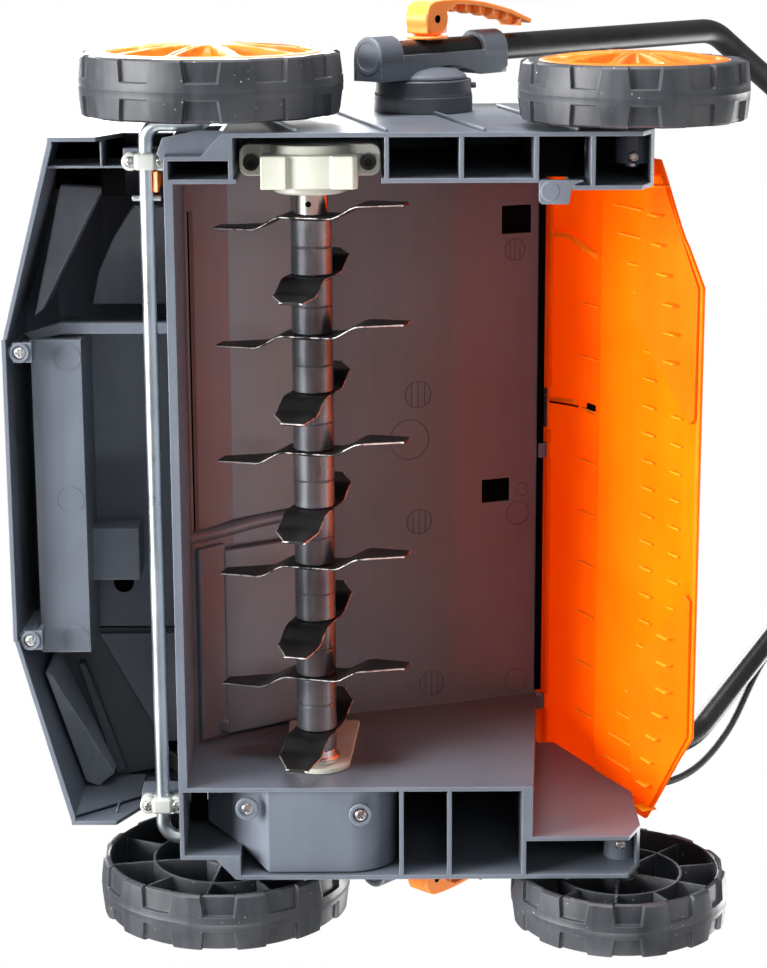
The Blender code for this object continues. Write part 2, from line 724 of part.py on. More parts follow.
def add_axle_boss(deck, side):
    x = mirrored(side, DECK_HALF_WIDTH - AXLE_BOSS[0], DECK_HALF_WIDTH - AXLE_BOSS[1])
    bore = mirrored(side, DECK_HALF_WIDTH - AXLE_BORE_END, DECK_HALF_WIDTH + CUT_PAST)
    centre = (REAR_WHEEL_Y, REAR_WHEEL_RADIUS)
    join(deck, rod("X", x, centre, AXLE_RADIUS + AXLE_BOSS_WALL, 24))
    cut(deck, rod("X", bore, centre, AXLE_RADIUS + BORE_GAP, 24))


def add_hinge_lugs(deck):
    centre = (FLAP_HINGE_Y, FLAP_HINGE_Z)
    for x in HINGE_LUGS:
        width = (x - HINGE_LUG_WIDTH / 2, x + HINGE_LUG_WIDTH / 2)
        foot = box(width, (REAR_EDGE_Y - HINGE_LUG_FOOT, FLAP_HINGE_Y),
                   (CEILING[-1][1] - HINGE_LUG_DEPTH, FLAP_HINGE_Z + HINGE_LUG_RISE))
        join(deck, foot, rod("X", width, centre, HINGE_BARREL_RADIUS, 12))
    reach = DECK_HALF_WIDTH
    cut(deck, rod("X", (-reach, reach), centre, HINGE_ROD_RADIUS + BORE_GAP, 10))


# Roller bearings

def bolt_x():
    return CHAMBER_LEFT + BOLT_INSET


def bolt_rows():
    return (ROLLER_Y - BOLT_SPACING / 2, ROLLER_Y + BOLT_SPACING / 2)


def make_bearings(machine):
    outer = CHAMBER_LEFT - BLOCK_PROUD + BLOCK_WIDTH
    inner = outer - BLOCK_WIDTH
    body = box((inner, outer), (ROLLER_Y - BLOCK_HALF_BODY, ROLLER_Y + BLOCK_HALF_BODY),
               (BLOCK_LOW_Z, BLOCK_TOP_Z))
    block = part("bearing_block", body, machine, "nylon")
    ears = box((inner + EAR_SET_BACK, outer), (ROLLER_Y - BLOCK_HALF_EARS, ROLLER_Y + BLOCK_HALF_EARS),
               (EAR_LOW_Z, BLOCK_TOP_Z))
    centre = (ROLLER_Y, ROLLER_Z)
    join(block, ears, rod("X", (inner - BLOCK_BOSS_LENGTH, inner + JOIN_DEPTH), centre, BLOCK_BOSS_RADIUS,
                          32))
    cut(block, rod("X", (inner - CUT_PAST, outer + CUT_PAST), centre, SHAFT_RADIUS + BORE_GAP, 24))
    for name, y in zip(("bearing_bolt_front", "bearing_bolt_rear"), bolt_rows()):
        cut(block, rod("Z", (0, BLOCK_TOP_Z + CUT_PAST), (bolt_x(), y), BOLT_RADIUS + BORE_GAP, 16))
        make_bolt(machine, name, y)
    wall = CHAMBER_RIGHT + GAP
    plate = box((wall, wall + CARRIER_THICKNESS), (ROLLER_Y - CARRIER_HALF_WIDTH,
                                                   ROLLER_Y + CARRIER_HALF_WIDTH),
                (CARRIER_LOW_Z, CARRIER_TOP_Z))
    carrier = part("bearing_carrier", plate, machine, "nylon")
    boss = (wall - CARRIER_BOSS_LENGTH, wall + JOIN_DEPTH)
    join(carrier, rod("X", boss, centre, CARRIER_BOSS_RADIUS, 32))
    cut(carrier, rod("X", (wall - 2 * CUT_PAST, wall + CUT_PAST), centre, SHAFT_RADIUS + BORE_GAP, 24))


def make_bolt(machine, name, y):
    top = BLOCK_TOP_Z + BOLT_GRIP
    head = EAR_LOW_Z - GAP
    bolt = part(name, rod("Z", (head - BOLT_HEAD_LENGTH, head), (bolt_x(), y), BOLT_HEAD_RADIUS, 24),
                machine, "black_steel")
    join(bolt, rod("Z", (head - JOIN_DEPTH, top), (bolt_x(), y), BOLT_RADIUS, 16))
    socket = (head - BOLT_HEAD_LENGTH - CUT_PAST, head - BOLT_SOCKET_FLOOR)
    cut(bolt, rod("Z", socket, (bolt_x(), y), BOLT_RADIUS, 6))


# Roller

def make_roller(machine):
    axis = empty("roller_axis", (0, ROLLER_Y, ROLLER_Z), machine)
    ends = (BELT_X - SHAFT_PAST_BELT, CHAMBER_LEFT + SHAFT_PAST_CHAMBER)
    make_x_shaft("roller_shaft", ends, SHAFT_RADIUS, axis, "black_steel")
    sleeve_low = FIRST_BLADE + BLADE_THICKNESS / 2 + GAP
    sleeve = ring_profile((sleeve_low, sleeve_low + SLEEVE_LENGTH), SHAFT_RADIUS + BORE_GAP, SLEEVE_RADIUS)
    turned_part("end_sleeve", sleeve, axis, "zinc", steps=24)
    make_spacers(axis)
    for index in range(BLADE_COUNT):
        make_blade(axis, index)
    width = (BELT_X - PULLEY_WIDTH / 2, BELT_X + PULLEY_WIDTH / 2)
    pulley = ring_profile(width, SHAFT_RADIUS + BORE_GAP, ROLLER_PULLEY_RADIUS)
    turned_part("roller_pulley", pulley, axis, "black_plastic", steps=32)


def ring_profile(ends, inner, outer):
    low, high = sorted(ends)
    return [(high, inner), (high, outer), (low, outer), (low, inner)]


def make_x_shaft(name, ends, radius, parent, finish, sides=24):
    return part(name, rod("X", ends, (0, 0), radius, sides), parent, finish)


def spacer_bore():
    """The spacers' bore at its corners, so that its flats clear the shaft."""
    return (SHAFT_RADIUS + BORE_GAP) / cos(pi / SPACER_STEPS)


def make_spacers(axis):
    """The spacer sleeves: one turned stack with a slot for each blade and the end flange."""
    bore = spacer_bore()
    floor = bore + SPACER_FLOOR
    slot = BLADE_THICKNESS / 2 + GAP
    top = FIRST_BLADE - slot
    bottom = CHAMBER_RIGHT + CARRIER_THICKNESS + 2 * GAP
    profile = [(top, bore), (top, SPACER_RADIUS)]
    for index in range(1, BLADE_COUNT):
        x = FIRST_BLADE - index * BLADE_PITCH
        profile += [(x + slot, SPACER_RADIUS), (x + slot, floor), (x - slot, floor),
                    (x - slot, SPACER_RADIUS)]
    flange = bottom + FLANGE_LENGTH
    profile += [(flange, SPACER_RADIUS), (flange, FLANGE_RADIUS), (bottom, FLANGE_RADIUS), (bottom, bore)]
    turned_part("spacer_stack", profile, axis, "black_steel", steps=SPACER_STEPS)


def blade_outline():
    """The blade seen edge on, as (Z, X) on both faces: a flat middle, a slope and a flat end each way."""
    t = BLADE_THICKNESS / 2
    bend = BLADE_FLAT + BLADE_SLOPE
    line = [(-BLADE_HALF_LENGTH, -BLADE_RISE), (-bend, -BLADE_RISE), (-BLADE_FLAT, 0),
            (BLADE_FLAT, 0), (bend, BLADE_RISE), (BLADE_HALF_LENGTH, BLADE_RISE)]
    return [(z, x + t) for z, x in line] + [(z, x - t) for z, x in reversed(line)]


def make_blade(axis, index):
    x = FIRST_BLADE - index * BLADE_PITCH
    half = BLADE_WIDTH / 2
    turn = BLADE_PHASE + index % 2 * BLADE_STEP
    mesh = prism("Y", (-half, half), blade_outline())
    blade = part(f"blade_{index + 1:02d}", mesh, axis, "black_steel", (x, 0, 0), (turn, 0, 0))
    tip = BLADE_HALF_LENGTH
    past = BLADE_TIP_CUT / 4
    reach = (-2 * BLADE_RISE, 2 * BLADE_RISE)
    for end in (1, -1):
        corner = [(half + past, tip - BLADE_TIP_CUT), (half, tip - BLADE_TIP_CUT), (0, tip),
                  (0, tip + past), (half + past, tip + past)]
        cut(blade, prism("X", reach, [mirrored(end, *point) for point in corner]))
    bore = (spacer_bore() + SPACER_FLOOR + GAP) / cos(pi / BLADE_BORE_SIDES)
    cut(blade, rod("X", reach, (0, 0), bore, BLADE_BORE_SIDES))


# Belt drive and motor

def belt_outline(grow):
    """The outline round both pulleys, a distance outside them, as (Y, Z)."""
    a = Vector((ROLLER_Y, ROLLER_Z))
    b = Vector((MOTOR_Y, MOTOR_Z))
    ra = ROLLER_PULLEY_RADIUS + grow
    rb = MOTOR_PULLEY_RADIUS + grow
    line = b - a
    heading = degrees(atan2(line.y, line.x))
    lean = degrees(acos((ra - rb) / line.length))
    return arc(a, ra, heading + lean, heading + 360 - lean, 20) + arc(b, rb, heading - lean, heading + lean,
                                                                      8)


def make_belt(machine):
    x = (BELT_X - BELT_WIDTH / 2, BELT_X + BELT_WIDTH / 2)
    part("drive_belt", prism("X", x, belt_outline(GAP + BELT_THICKNESS), belt_outline(GAP)), machine,
         "rubber")


def make_motor(machine):
    centre = (MOTOR_Y, MOTOR_Z)
    can = part("motor_can", rod("X", MOTOR_X, centre, MOTOR_RADIUS, 32), machine, "motor_steel")
    nose = (MOTOR_X[0] - MOTOR_NOSE_LENGTH, MOTOR_X[0] + JOIN_DEPTH)
    tail = (MOTOR_X[1] - JOIN_DEPTH, MOTOR_X[1] + MOTOR_TAIL_LENGTH)
    join(can, rod("X", nose, centre, MOTOR_NOSE_RADIUS, 24))
    join(can, rod("X", tail, centre, MOTOR_TAIL_RADIUS, 24))
    depth = MOTOR_X[0] + MOTOR_SHAFT_DEPTH
    cut(can, rod("X", (MOTOR_X[0] - 2 * CUT_PAST, depth), centre, MOTOR_SHAFT_RADIUS + BORE_GAP, 20))
    axis = empty("motor_axis", (0, MOTOR_Y, MOTOR_Z), machine)
    low = BELT_X - PULLEY_WIDTH / 2
    ends = (low - MOTOR_SHAFT_TIP, depth - MOTOR_SHAFT_ROOM)
    rotor = make_x_shaft("motor_rotor", ends, MOTOR_SHAFT_RADIUS, axis, "black_steel", 20)
    join(rotor, rod("X", (low, low + PULLEY_WIDTH), (0, 0), MOTOR_PULLEY_RADIUS, 32))


def make_tray(machine):
    """The stepped panel under the motor, with end walls and two cradle ribs."""
    t = WALL
    step = [(TRAY_FRONT_Y, TRAY_LOW_Z), (TRAY_STEP_Y, TRAY_LOW_Z), (TRAY_STEP_Y, TRAY_HIGH_Z),
            (TRAY_REAR_Y, TRAY_HIGH_Z)]
    upper = [(TRAY_REAR_Y, TRAY_HIGH_Z + t), (TRAY_STEP_Y - t, TRAY_HIGH_Z + t),
             (TRAY_STEP_Y - t, TRAY_LOW_Z + t),
             (TRAY_FRONT_Y, TRAY_LOW_Z + t)]
    tray = part("motor_tray", prism("X", TRAY_X, step + upper), machine, "deck_plastic")
    lift = JOIN_DEPTH
    end = [(TRAY_FRONT_Y, TRAY_LOW_Z + lift), (TRAY_STEP_Y - lift, TRAY_LOW_Z + lift),
           (TRAY_STEP_Y - lift, TRAY_HIGH_Z + lift), (TRAY_REAR_Y, TRAY_HIGH_Z + lift),
           (TRAY_REAR_Y, TRAY_TOP_Z), (TRAY_FRONT_Y + TRAY_END_LEAN, TRAY_TOP_Z)]
    inset = FACE_STEP
    end = [(y + inset if y == TRAY_FRONT_Y else y - inset, z) for y, z in end]
    join(tray, prism("X", (TRAY_X[0] + inset, TRAY_X[0] + t), end),
         prism("X", (TRAY_X[1] - t, TRAY_X[1] - inset), end))
    for x in TRAY_CRADLES:
        join(tray, box((x, x + TRAY_CRADLE_WIDTH), (TRAY_STEP_Y - 2 * lift, TRAY_REAR_Y - inset),
                       (TRAY_HIGH_Z + lift, TRAY_TOP_Z - TRAY_CRADLE_DROP)))
    past_motor = (TRAY_X[0] - CUT_PAST, MOTOR_X[1] + CUT_PAST)
    cut(tray, rod("X", past_motor, (MOTOR_Y, MOTOR_Z), MOTOR_RADIUS + GAP, 32))
    for x, y in TRAY_SCREWS:
        half = TRAY_TAB_WIDTH / 2
        tab = box((x - half, x + half), (y - TRAY_TAB_BORDER, TRAY_FRONT_Y + t),
                  (TRAY_TAB_Z, TRAY_TAB_Z + t))
        half -= inset / 2
        riser = box((x - half, x + half), (TRAY_FRONT_Y - inset, TRAY_FRONT_Y + t - inset),
                    (TRAY_TAB_Z + inset, TRAY_LOW_Z + lift))
        join(tray, tab, riser)
        cut(tray, rod("Z", (TRAY_TAB_Z - t, TRAY_TAB_Z + 2 * t), (x, y), TRAY_SCREW_RADIUS + BORE_GAP, 16))


def make_cover(machine):
    x_outer = -DECK_HALF_WIDTH + NARROW_FRONT + WALL + GAP
    x_wide = -DECK_HALF_WIDTH + WALL + GAP
    x_inner = CHAMBER_RIGHT - WALL - GAP
    y = (FRONT_WALL_Y + WALL + GAP, RIGHT_RIBS[0] - RIB / 2 - GAP)
    turn_y = NARROW_START_Y + WALL + GAP
    outline = [(x_inner, y[0]), (x_outer, y[0]), (x_outer, turn_y), (x_wide, turn_y), (x_wide, y[1]),
               (x_inner, y[1])]
    part("belt_cover", prism("Z", (COVER_Z, COVER_Z + COVER_THICKNESS), outline), machine, "deck_plastic")


# Hood

def make_hood(machine):
    front = HOOD_PROFILE[0][0]
    roof = roof_line(HOOD_SEAT)
    under = between(roof, FRONT_WALL_Y - JOIN_DEPTH, HOOD_REAR_Y)
    arch = [(under[0][0], HOOD_ARCH_Z), (HOOD_ARCH_Y, HOOD_ARCH_Z),
            (HOOD_ARCH_Y - HOOD_ARCH_RUN, HOOD_RIM_Z)]
    outline = [*HOOD_PROFILE, *reversed(under[1:]), (under[0][0], under[1][1]), *arch]
    hood = part("hood", prism("X", (-HOOD_HALF_WIDTH, HOOD_HALF_WIDTH), outline), machine, "deck_plastic")
    for side in (1, -1):
        cut(hood, hood_corner(side, 0))
    hollow_hood(hood, front)
    fit_hood_to_rails(hood)
    for x, y in TRAY_SCREWS:
        rise = (TRAY_TAB_Z + WALL + GAP, HOOD_BOSS_TOP_Z)
        web = box((x - WALL, x + WALL), (front + JOIN_DEPTH, y), rise)
        join(hood, web, rod("Z", rise, (x, y), TRAY_SCREW_RADIUS + HOOD_BOSS_WALL, 16))
        cut(hood, rod("Z", (TRAY_TAB_Z, TRAY_TAB_Z + HOOD_BOSS_DEPTH), (x, y), TRAY_SCREW_RADIUS, 12))
    swing = (LEVER_HEIGHT - HOOD_SLOT_BELOW) * tan(LEVER_SWING)
    reach = swing + LEVER_WIDTH / 2 / cos(LEVER_SWING) + HOOD_SLOT_GAP
    slot = (LEVER_X[0] - HOOD_SLOT_GAP, LEVER_X[1] + HOOD_SLOT_GAP)
    cut(hood, box(slot, (ROD_Y - reach, ROD_Y + reach), (HOOD_PROFILE[2][1], HUGE)))
    add_gland(hood)


def hood_corner(side, inset):
    """What the hood's tapered front corner leaves off, a wall's inset further in for the hollow."""
    front = HOOD_PROFILE[0][0] + JOIN_DEPTH + inset
    a, b, past = mirrored(side, HOOD_FRONT_HALF_WIDTH, HOOD_HALF_WIDTH - HOOD_TAPER_IN - inset,
                          HOOD_HALF_WIDTH + 2 * CUT_PAST)
    taper = HOOD_TAPER_Y + inset
    before = front - 3 * CUT_PAST
    return prism("Z", (-BEYOND, HUGE), [(a, front), (b, taper), (past, taper), (past, before),
                                        (a, before)])


def hollow_hood(hood, front):
    inside = [(front + WALL, 0), (front + WALL, HOOD_RIM_Z), *shrink(HOOD_PROFILE[1:-1], WALL),
              (HOOD_REAR_Y - WALL, HOOD_PROFILE[-1][1] - WALL / 2), (HOOD_REAR_Y - WALL, 0)]
    room = HOOD_HALF_WIDTH - WALL
    cavity = place_object("hood_cavity", prism("X", (-room, room), inside), hood.parent, CUTTERS)
    for side in (1, -1):
        cut(cavity, hood_corner(side, WALL))
    use_as_cutter(hood, cavity, "DIFFERENCE")


def fit_hood_to_rails(hood):
    """Cuts the hood to the deck's rails, on which its sides stand."""
    end = HOOD_REAR_Y + CUT_PAST
    rail = [(y, z + HOOD_SEAT) for y, z in between(RAIL_TOP, FRONT_WALL_Y, end)]
    step = [(FRONT_WALL_Y - HOOD_SEAT, 0), (FRONT_WALL_Y - HOOD_SEAT, rail[0][1]), *rail[1:], (end, 0)]
    for inner, outer in ((CHAMBER_LEFT - HOOD_SEAT, DECK_HALF_WIDTH),
                         (CHAMBER_RIGHT + HOOD_SEAT, -DECK_HALF_WIDTH)):
        cut(hood, prism("X", (inner, outer), step))


def add_gland(hood):
    at, out = gland_place()
    turn = atan2(out.y, out.x) - pi / 2
    work = bmesh.new()
    bmesh.ops.create_cone(work, cap_ends=True, segments=20, radius1=GLAND_RADIUS, radius2=GLAND_TIP_RADIUS,
                          depth=2 * GLAND_LENGTH,
                          matrix=Matrix.Translation((GLAND_X, *at)) @ Matrix.Rotation(turn, 4, "X"))
    join(hood, tidy_mesh(work))


def shrink(points, distance):
    """An open polyline, front to rear, moved inwards square to its runs."""
    moved = []
    for index, (y, z) in enumerate(points):
        before = points[max(index - 1, 0)]
        after = points[min(index + 1, len(points) - 1)]
        length = hypot(after[0] - before[0], after[1] - before[1])
        moved.append((y + (after[1] - before[1]) / length * distance,
                      z - (after[0] - before[0]) / length * distance))
    return moved


def gland_place():
    """The middle of the hood's rear slope and the way out of it, as (Y, Z)."""
    a = Vector(HOOD_PROFILE[-2])
    b = Vector(HOOD_PROFILE[-1])
    run = (b - a).normalized()
    return (a + b) / 2, Vector((-run.y, run.x))


# Wheels and axles

def wheel_profile(width, radius):
    web = width - WHEEL_RECESS
    rim = radius - WHEEL_RIM
    lip = radius - WHEEL_LIP
    bore = AXLE_RADIUS + BORE_GAP
    return [(web, bore), (web, lip), (width, lip), (width, radius), (0, radius), (0, rim),
            (web - WHEEL_WEB, rim),
            (web - WHEEL_WEB, WHEEL_HUB_RADIUS), (WHEEL_HUB_START, WHEEL_HUB_RADIUS),
            (WHEEL_HUB_START, bore)]


def cap_profile(width, radius):
    skirt = radius - WHEEL_LIP - GAP
    low = width - WHEEL_RECESS + GAP
    shoulder = (width + CAP_CROWN * CAP_SHOULDER[0], skirt * CAP_SHOULDER[1])
    return [(width + CAP_CROWN, 0), shoulder, (width, skirt), (low, skirt),
            (low, skirt - CAP_SKIN), (width - CAP_SKIN, skirt - CAP_SKIN),
            (width + CAP_CROWN - CAP_SKIN, 0)]


def make_wheel(name, cap_name, axis, side, x, width, radius):
    wheel = turned_part(name, wheel_profile(width, radius), axis, "tyre_plastic", side, steps=WHEEL_SIDES)
    cap = turned_part(cap_name, cap_profile(width, radius), axis, "orange_plastic", side, closed=False,
                      steps=WHEEL_SIDES)
    for thing in (wheel, cap):
        thing.location = (side * x, 0, 0)
        round_shading(thing)


def make_rear_wheels(machine):
    for side, label in ((1, "left"), (-1, "right")):
        axis = empty("rear_wheel_axis_" + label, (0, REAR_WHEEL_Y, REAR_WHEEL_RADIUS), machine)
        make_wheel("rear_wheel_" + label, "rear_cap_" + label, axis, side, REAR_WHEEL_X, REAR_WHEEL_WIDTH,
                   REAR_WHEEL_RADIUS)
        web = REAR_WHEEL_X + REAR_WHEEL_WIDTH - WHEEL_RECESS
        ends = mirrored(side, DECK_HALF_WIDTH - AXLE_END, web + GAP + JOIN_DEPTH)
        axle = part("rear_axle_" + label, rod("X", ends, (REAR_WHEEL_Y, REAR_WHEEL_RADIUS), AXLE_RADIUS,
                                              20), machine, "zinc")
        head = mirrored(side, web + GAP, web + GAP + AXLE_HEAD)
        join(axle, rod("X", head, (REAR_WHEEL_Y, REAR_WHEEL_RADIUS), AXLE_HEAD_RADIUS, 20))
        washer = mirrored(side, DECK_HALF_WIDTH + GAP, REAR_WHEEL_X + WHEEL_HUB_START - GAP)
        join(axle, rod("X", washer, (REAR_WHEEL_Y, REAR_WHEEL_RADIUS), AXLE_HEAD_RADIUS, 20))


def make_front_axle(machine):
    axis = empty("front_axle_axis", (0, ROD_Y, ROD_Z), machine)
    web = FRONT_WHEEL_X + FRONT_WHEEL_WIDTH - WHEEL_RECESS
    end = web + GAP + JOIN_DEPTH
    half = [(end, CRANK_DY, CRANK_DZ), (CRANK_X, CRANK_DY, CRANK_DZ), (CRANK_X, 0, 0)]
    corners = half + [(-x, y, z) for x, y, z in reversed(half)]
    axle = part("front_axle", bent_rod(rounded_path(corners, ROD_BEND, 4), ROD_RADIUS, 2), axis, "zinc")
    for side, label in ((1, "left"), (-1, "right")):
        head = mirrored(side, web + GAP, web + GAP + AXLE_HEAD)
        join(axle, rod("X", head, (CRANK_DY, CRANK_DZ), AXLE_HEAD_RADIUS, 20))
        wheel_axis = empty("front_wheel_axis_" + label, (0, CRANK_DY, CRANK_DZ), axis)
        make_wheel("front_wheel_" + label, "front_cap_" + label, wheel_axis, side, FRONT_WHEEL_X,
                   FRONT_WHEEL_WIDTH, FRONT_WHEEL_RADIUS)
        make_axle_clamp(machine, side, "axle_clamp_" + label)
    cut(axle, rod("Y", (-PIN_LENGTH, PIN_LENGTH), (PIN_X, 0), PIN_RADIUS + BORE_GAP, 14))
    part("cross_pin", rod("Y", (-PIN_LENGTH / 2, PIN_LENGTH / 2), (PIN_X, 0), PIN_RADIUS, 16), axis, "zinc")
    make_height_lever(axis)


def make_axle_clamp(machine, side, name):
    x = mirrored(side, CLAMP_X, CLAMP_X + CLAMP_WIDTH)
    through = mirrored(side, CLAMP_X - CUT_PAST, CLAMP_X + CLAMP_WIDTH + CUT_PAST)
    y = (ROD_Y - CLAMP_LENGTH / 2, ROD_Y + CLAMP_LENGTH / 2)
    clamp = part(name, box(x, y, (ROD_Z - CLAMP_DEPTH, ROD_Z + ROD_RADIUS)), machine, "nylon")
    bore = ROD_RADIUS + BORE_GAP
    cut(clamp, rod("X", through, (ROD_Y, ROD_Z), bore, 24))
    cut(clamp, box(through, (ROD_Y - bore, ROD_Y + bore), (ROD_Z, ROD_Z + 2 * CUT_PAST)))


def make_height_lever(axis):
    lever = part("height_lever", rod("X", LEVER_X, (0, 0), LEVER_HUB_RADIUS, 24), axis, "orange_plastic")
    half = LEVER_WIDTH / 2
    knob = LEVER_HEIGHT - LEVER_KNOB_DROP
    join(lever, box((LEVER_X[0] + LEVER_STEM_INSET, LEVER_X[1] - LEVER_STEM_INSET), (-half, half),
                    (LEVER_STEM_START, knob + 2 * JOIN_DEPTH)))
    middle = (LEVER_X[0] + LEVER_X[1]) / 2
    width, length, height = LEVER_KNOB
    join(lever, box((middle - width / 2, middle + width / 2), (-length / 2, length / 2),
                    (knob, knob + height)))
    cut(lever, rod("X", (LEVER_X[0] - CUT_PAST, LEVER_X[1] + CUT_PAST), (0, 0), ROD_RADIUS + BORE_GAP, 24))


# Rear flap

def make_flap(machine):
    axis = empty("flap_axis", (0, FLAP_HINGE_Y, FLAP_HINGE_Z), machine, FLAP_ANGLE)
    t = FLAP_THICKNESS / 2
    low, high = FLAP_X
    bottom = -FLAP_LENGTH
    outline = [(-FLAP_START, low), (-FLAP_START, high), (bottom + FLAP_CORNER_Z, high),
               (bottom, high - FLAP_CORNER_X), (bottom, low + FLAP_CORNER_X),
               (bottom + FLAP_CORNER_Z, low)]
    flap = part("rear_flap", prism("Y", (-t, t), outline), axis, "orange_plastic")
    join(flap, rod("X", FLAP_X, (0, 0), HINGE_BARREL_RADIUS, 12))
    room = HINGE_BARREL_RADIUS + HINGE_LUG_ROOM
    for x in HINGE_LUGS:
        half = HINGE_LUG_WIDTH / 2 + GAP
        cut(flap, box((x - half, x + half), (-room, room),
                      (-room - HINGE_LUG_SWING, room)))
    cut(flap, box((SPRING_X[0] - SPRING_ROOM, SPRING_X[1] + SPRING_ROOM), (-room, room), (-room, room)))
    cut(flap, rod("X", (-HUGE, HUGE), (0, 0), HINGE_ROD_RADIUS + BORE_GAP, 10))
    rod_mesh = rod("X", (FLAP_X[0] - HINGE_ROD_PAST, FLAP_X[1] + HINGE_ROD_PAST),
                   (FLAP_HINGE_Y, FLAP_HINGE_Z), HINGE_ROD_RADIUS, 10)
    part("flap_hinge_rod", rod_mesh, machine, "zinc")
    make_spring(machine)


def make_spring(machine):
    """A torsion spring round the hinge rod: a helix with one leg on the deck and one on the flap."""
    steps = 8
    count = SPRING_TURNS * steps
    points = []
    for i in range(count + 1):
        angle = -pi / 2 + 2 * pi * i / steps
        x = SPRING_X[0] + (SPRING_X[1] - SPRING_X[0]) * i / count
        points.append(Vector((x, SPRING_RADIUS * cos(angle), SPRING_RADIUS * sin(angle))))
    points.append(points[-1] + Vector((0, SPRING_FLAP_LEG, 0)))
    shift = Vector((0, FLAP_HINGE_Y, FLAP_HINGE_Z))
    roof = roof_line(GAP + 1.2 * SPRING_WIRE)
    deck_leg = [Vector((SPRING_X[0], y, profile_height(roof, y))) for y in (REAR_EDGE_Y - SPRING_LEG,
                                                                            REAR_EDGE_Y)]
    wire = deck_leg + [point + shift for point in points]
    part("flap_spring", bent_rod(wire, SPRING_WIRE, 1), machine, "zinc")


# Handle

def make_handle(machine):
    pivot = empty("handle_pivot", (0, TURRET_Y, TURRET_Z), machine, HANDLE_SLOPE)
    for side, label in ((1, "left"), (-1, "right")):
        turret_x = mirrored(side, DECK_HALF_WIDTH + GAP, DECK_HALF_WIDTH + GAP + TURRET_LENGTH)
        part("turret_" + label, rod("X", turret_x, (TURRET_Y, TURRET_Z), TURRET_RADIUS, 32), machine,
             "deck_plastic")
        make_cradle(pivot, side, "cradle_" + label)
        make_lower_tube(pivot, side, "lower_tube_" + label)
        make_cam_lever(pivot, side, "cam_lever_" + label)
        make_knob(pivot, side, "handle_knob_" + label)
    make_upper_handle(pivot)


def make_cradle(pivot, side, name):
    base = DECK_HALF_WIDTH + 2 * GAP + TURRET_LENGTH
    floor = TUBE_X - TUBE_RADIUS - CRADLE_FLOOR
    half = TUBE_RADIUS + CRADLE_WALL
    cheek = half - FACE_STEP
    body = box(mirrored(side, floor, TUBE_X + CRADLE_RISE), CRADLE_S, (-cheek, cheek))
    cradle = part(name, body, pivot, "deck_plastic")
    join(cradle, rod("X", mirrored(side, base, floor + JOIN_DEPTH), (0, 0), CRADLE_DISC_RADIUS, 36))
    centre = (side * TUBE_X, 0)
    join(cradle, rod("Y", (CRADLE_S[0], CRADLE_TROUGH_S[0]), centre, half, 22))
    join(cradle, rod("Y", (CRADLE_TROUGH_S[1], CRADLE_S[1]), centre, half, 22))
    cut(cradle, rod("Y", (TUBE_START_S - GAP, CRADLE_S[1] + CUT_PAST), centre, TUBE_RADIUS + BORE_GAP, 20))
    top = CAM_PIVOT_X
    bolt = rod("X", mirrored(side, floor + JOIN_DEPTH, top), (CAM_PIVOT_S, 0), CLAMP_BOLT_RADIUS, 16)
    eye = rod("Z", (-CAM_EYE_HALF_WIDTH, CAM_EYE_HALF_WIDTH), (side * top, CAM_PIVOT_S), CAM_EYE_RADIUS, 20)
    join(cradle, bolt, eye)


def hollow_tube(name, path, parent):
    """A steel tube along a path, open at both ends."""
    tube = part(name, bent_rod(path, TUBE_RADIUS, 3), parent, "tube_paint")
    before = path[0] + (path[0] - path[1]).normalized() * TUBE_RADIUS
    after = path[-1] + (path[-1] - path[-2]).normalized() * TUBE_RADIUS
    cut(tube, bent_rod([before, *path, after], TUBE_RADIUS - TUBE_WALL, 3))
    return tube


def make_lower_tube(pivot, side, name):
    corners = [(TUBE_X, TUBE_START_S, 0), (TUBE_X, TUBE_BEND_S, 0), (TUBE_UPPER_X, TUBE_UPPER_S, 0),
               (TUBE_UPPER_X, TUBE_END_S, 0)]
    path = rounded_path([(side * x, s, n) for x, s, n in corners], TUBE_BEND, 3)
    tube = hollow_tube(name, path, pivot)
    through = mirrored(side, TUBE_X - 2 * CUT_PAST, TUBE_X + 2 * CUT_PAST)
    cut(tube, rod("X", through, (CAM_PIVOT_S, 0), CLAMP_BOLT_RADIUS + BORE_GAP, 14))
    through = mirrored(side, TUBE_UPPER_X - 2 * CUT_PAST, TUBE_UPPER_X + 2 * CUT_PAST)
    cut(tube, rod("X", through, (FOLD_S, 0), CLAMP_BOLT_RADIUS + BORE_GAP, 14))


def make_cam_lever(pivot, side, name):
    axis = empty(name + "_axis", (side * CAM_PIVOT_X, CAM_PIVOT_S, 0), pivot)
    arm = [(share * CAM_ARM_LENGTH, x) for share, x in CAM_ARM]
    outline = [(side * x, s) for s, x in CAM_HEEL + arm]
    width = (-CAM_HALF_WIDTH, CAM_HALF_WIDTH)
    lever = part(name, prism("Z", width, outline), axis, "orange_plastic")
    join(lever, rod("Z", width, (0, 0), CAM_RADIUS, 28))
    slot = CAM_EYE_HALF_WIDTH + GAP
    room = CAM_EYE_RADIUS + GAP
    cut(lever, rod("Z", (-slot, slot), (0, 0), room, 24))
    swing = CLAMP_BOLT_RADIUS + GAP + CAM_BOLT_ROOM
    sweep = arc((0, 0), CAM_SWEEP, 180 - CAM_SPARE_ANGLE, 180 + degrees(CAM_OPENING) + CAM_SPARE_ANGLE, 8)
    wedge = [(0, swing), *sweep, (swing, 0)]
    cut(lever, prism("Z", (-slot, slot), [(side * x, s) for x, s in wedge]))


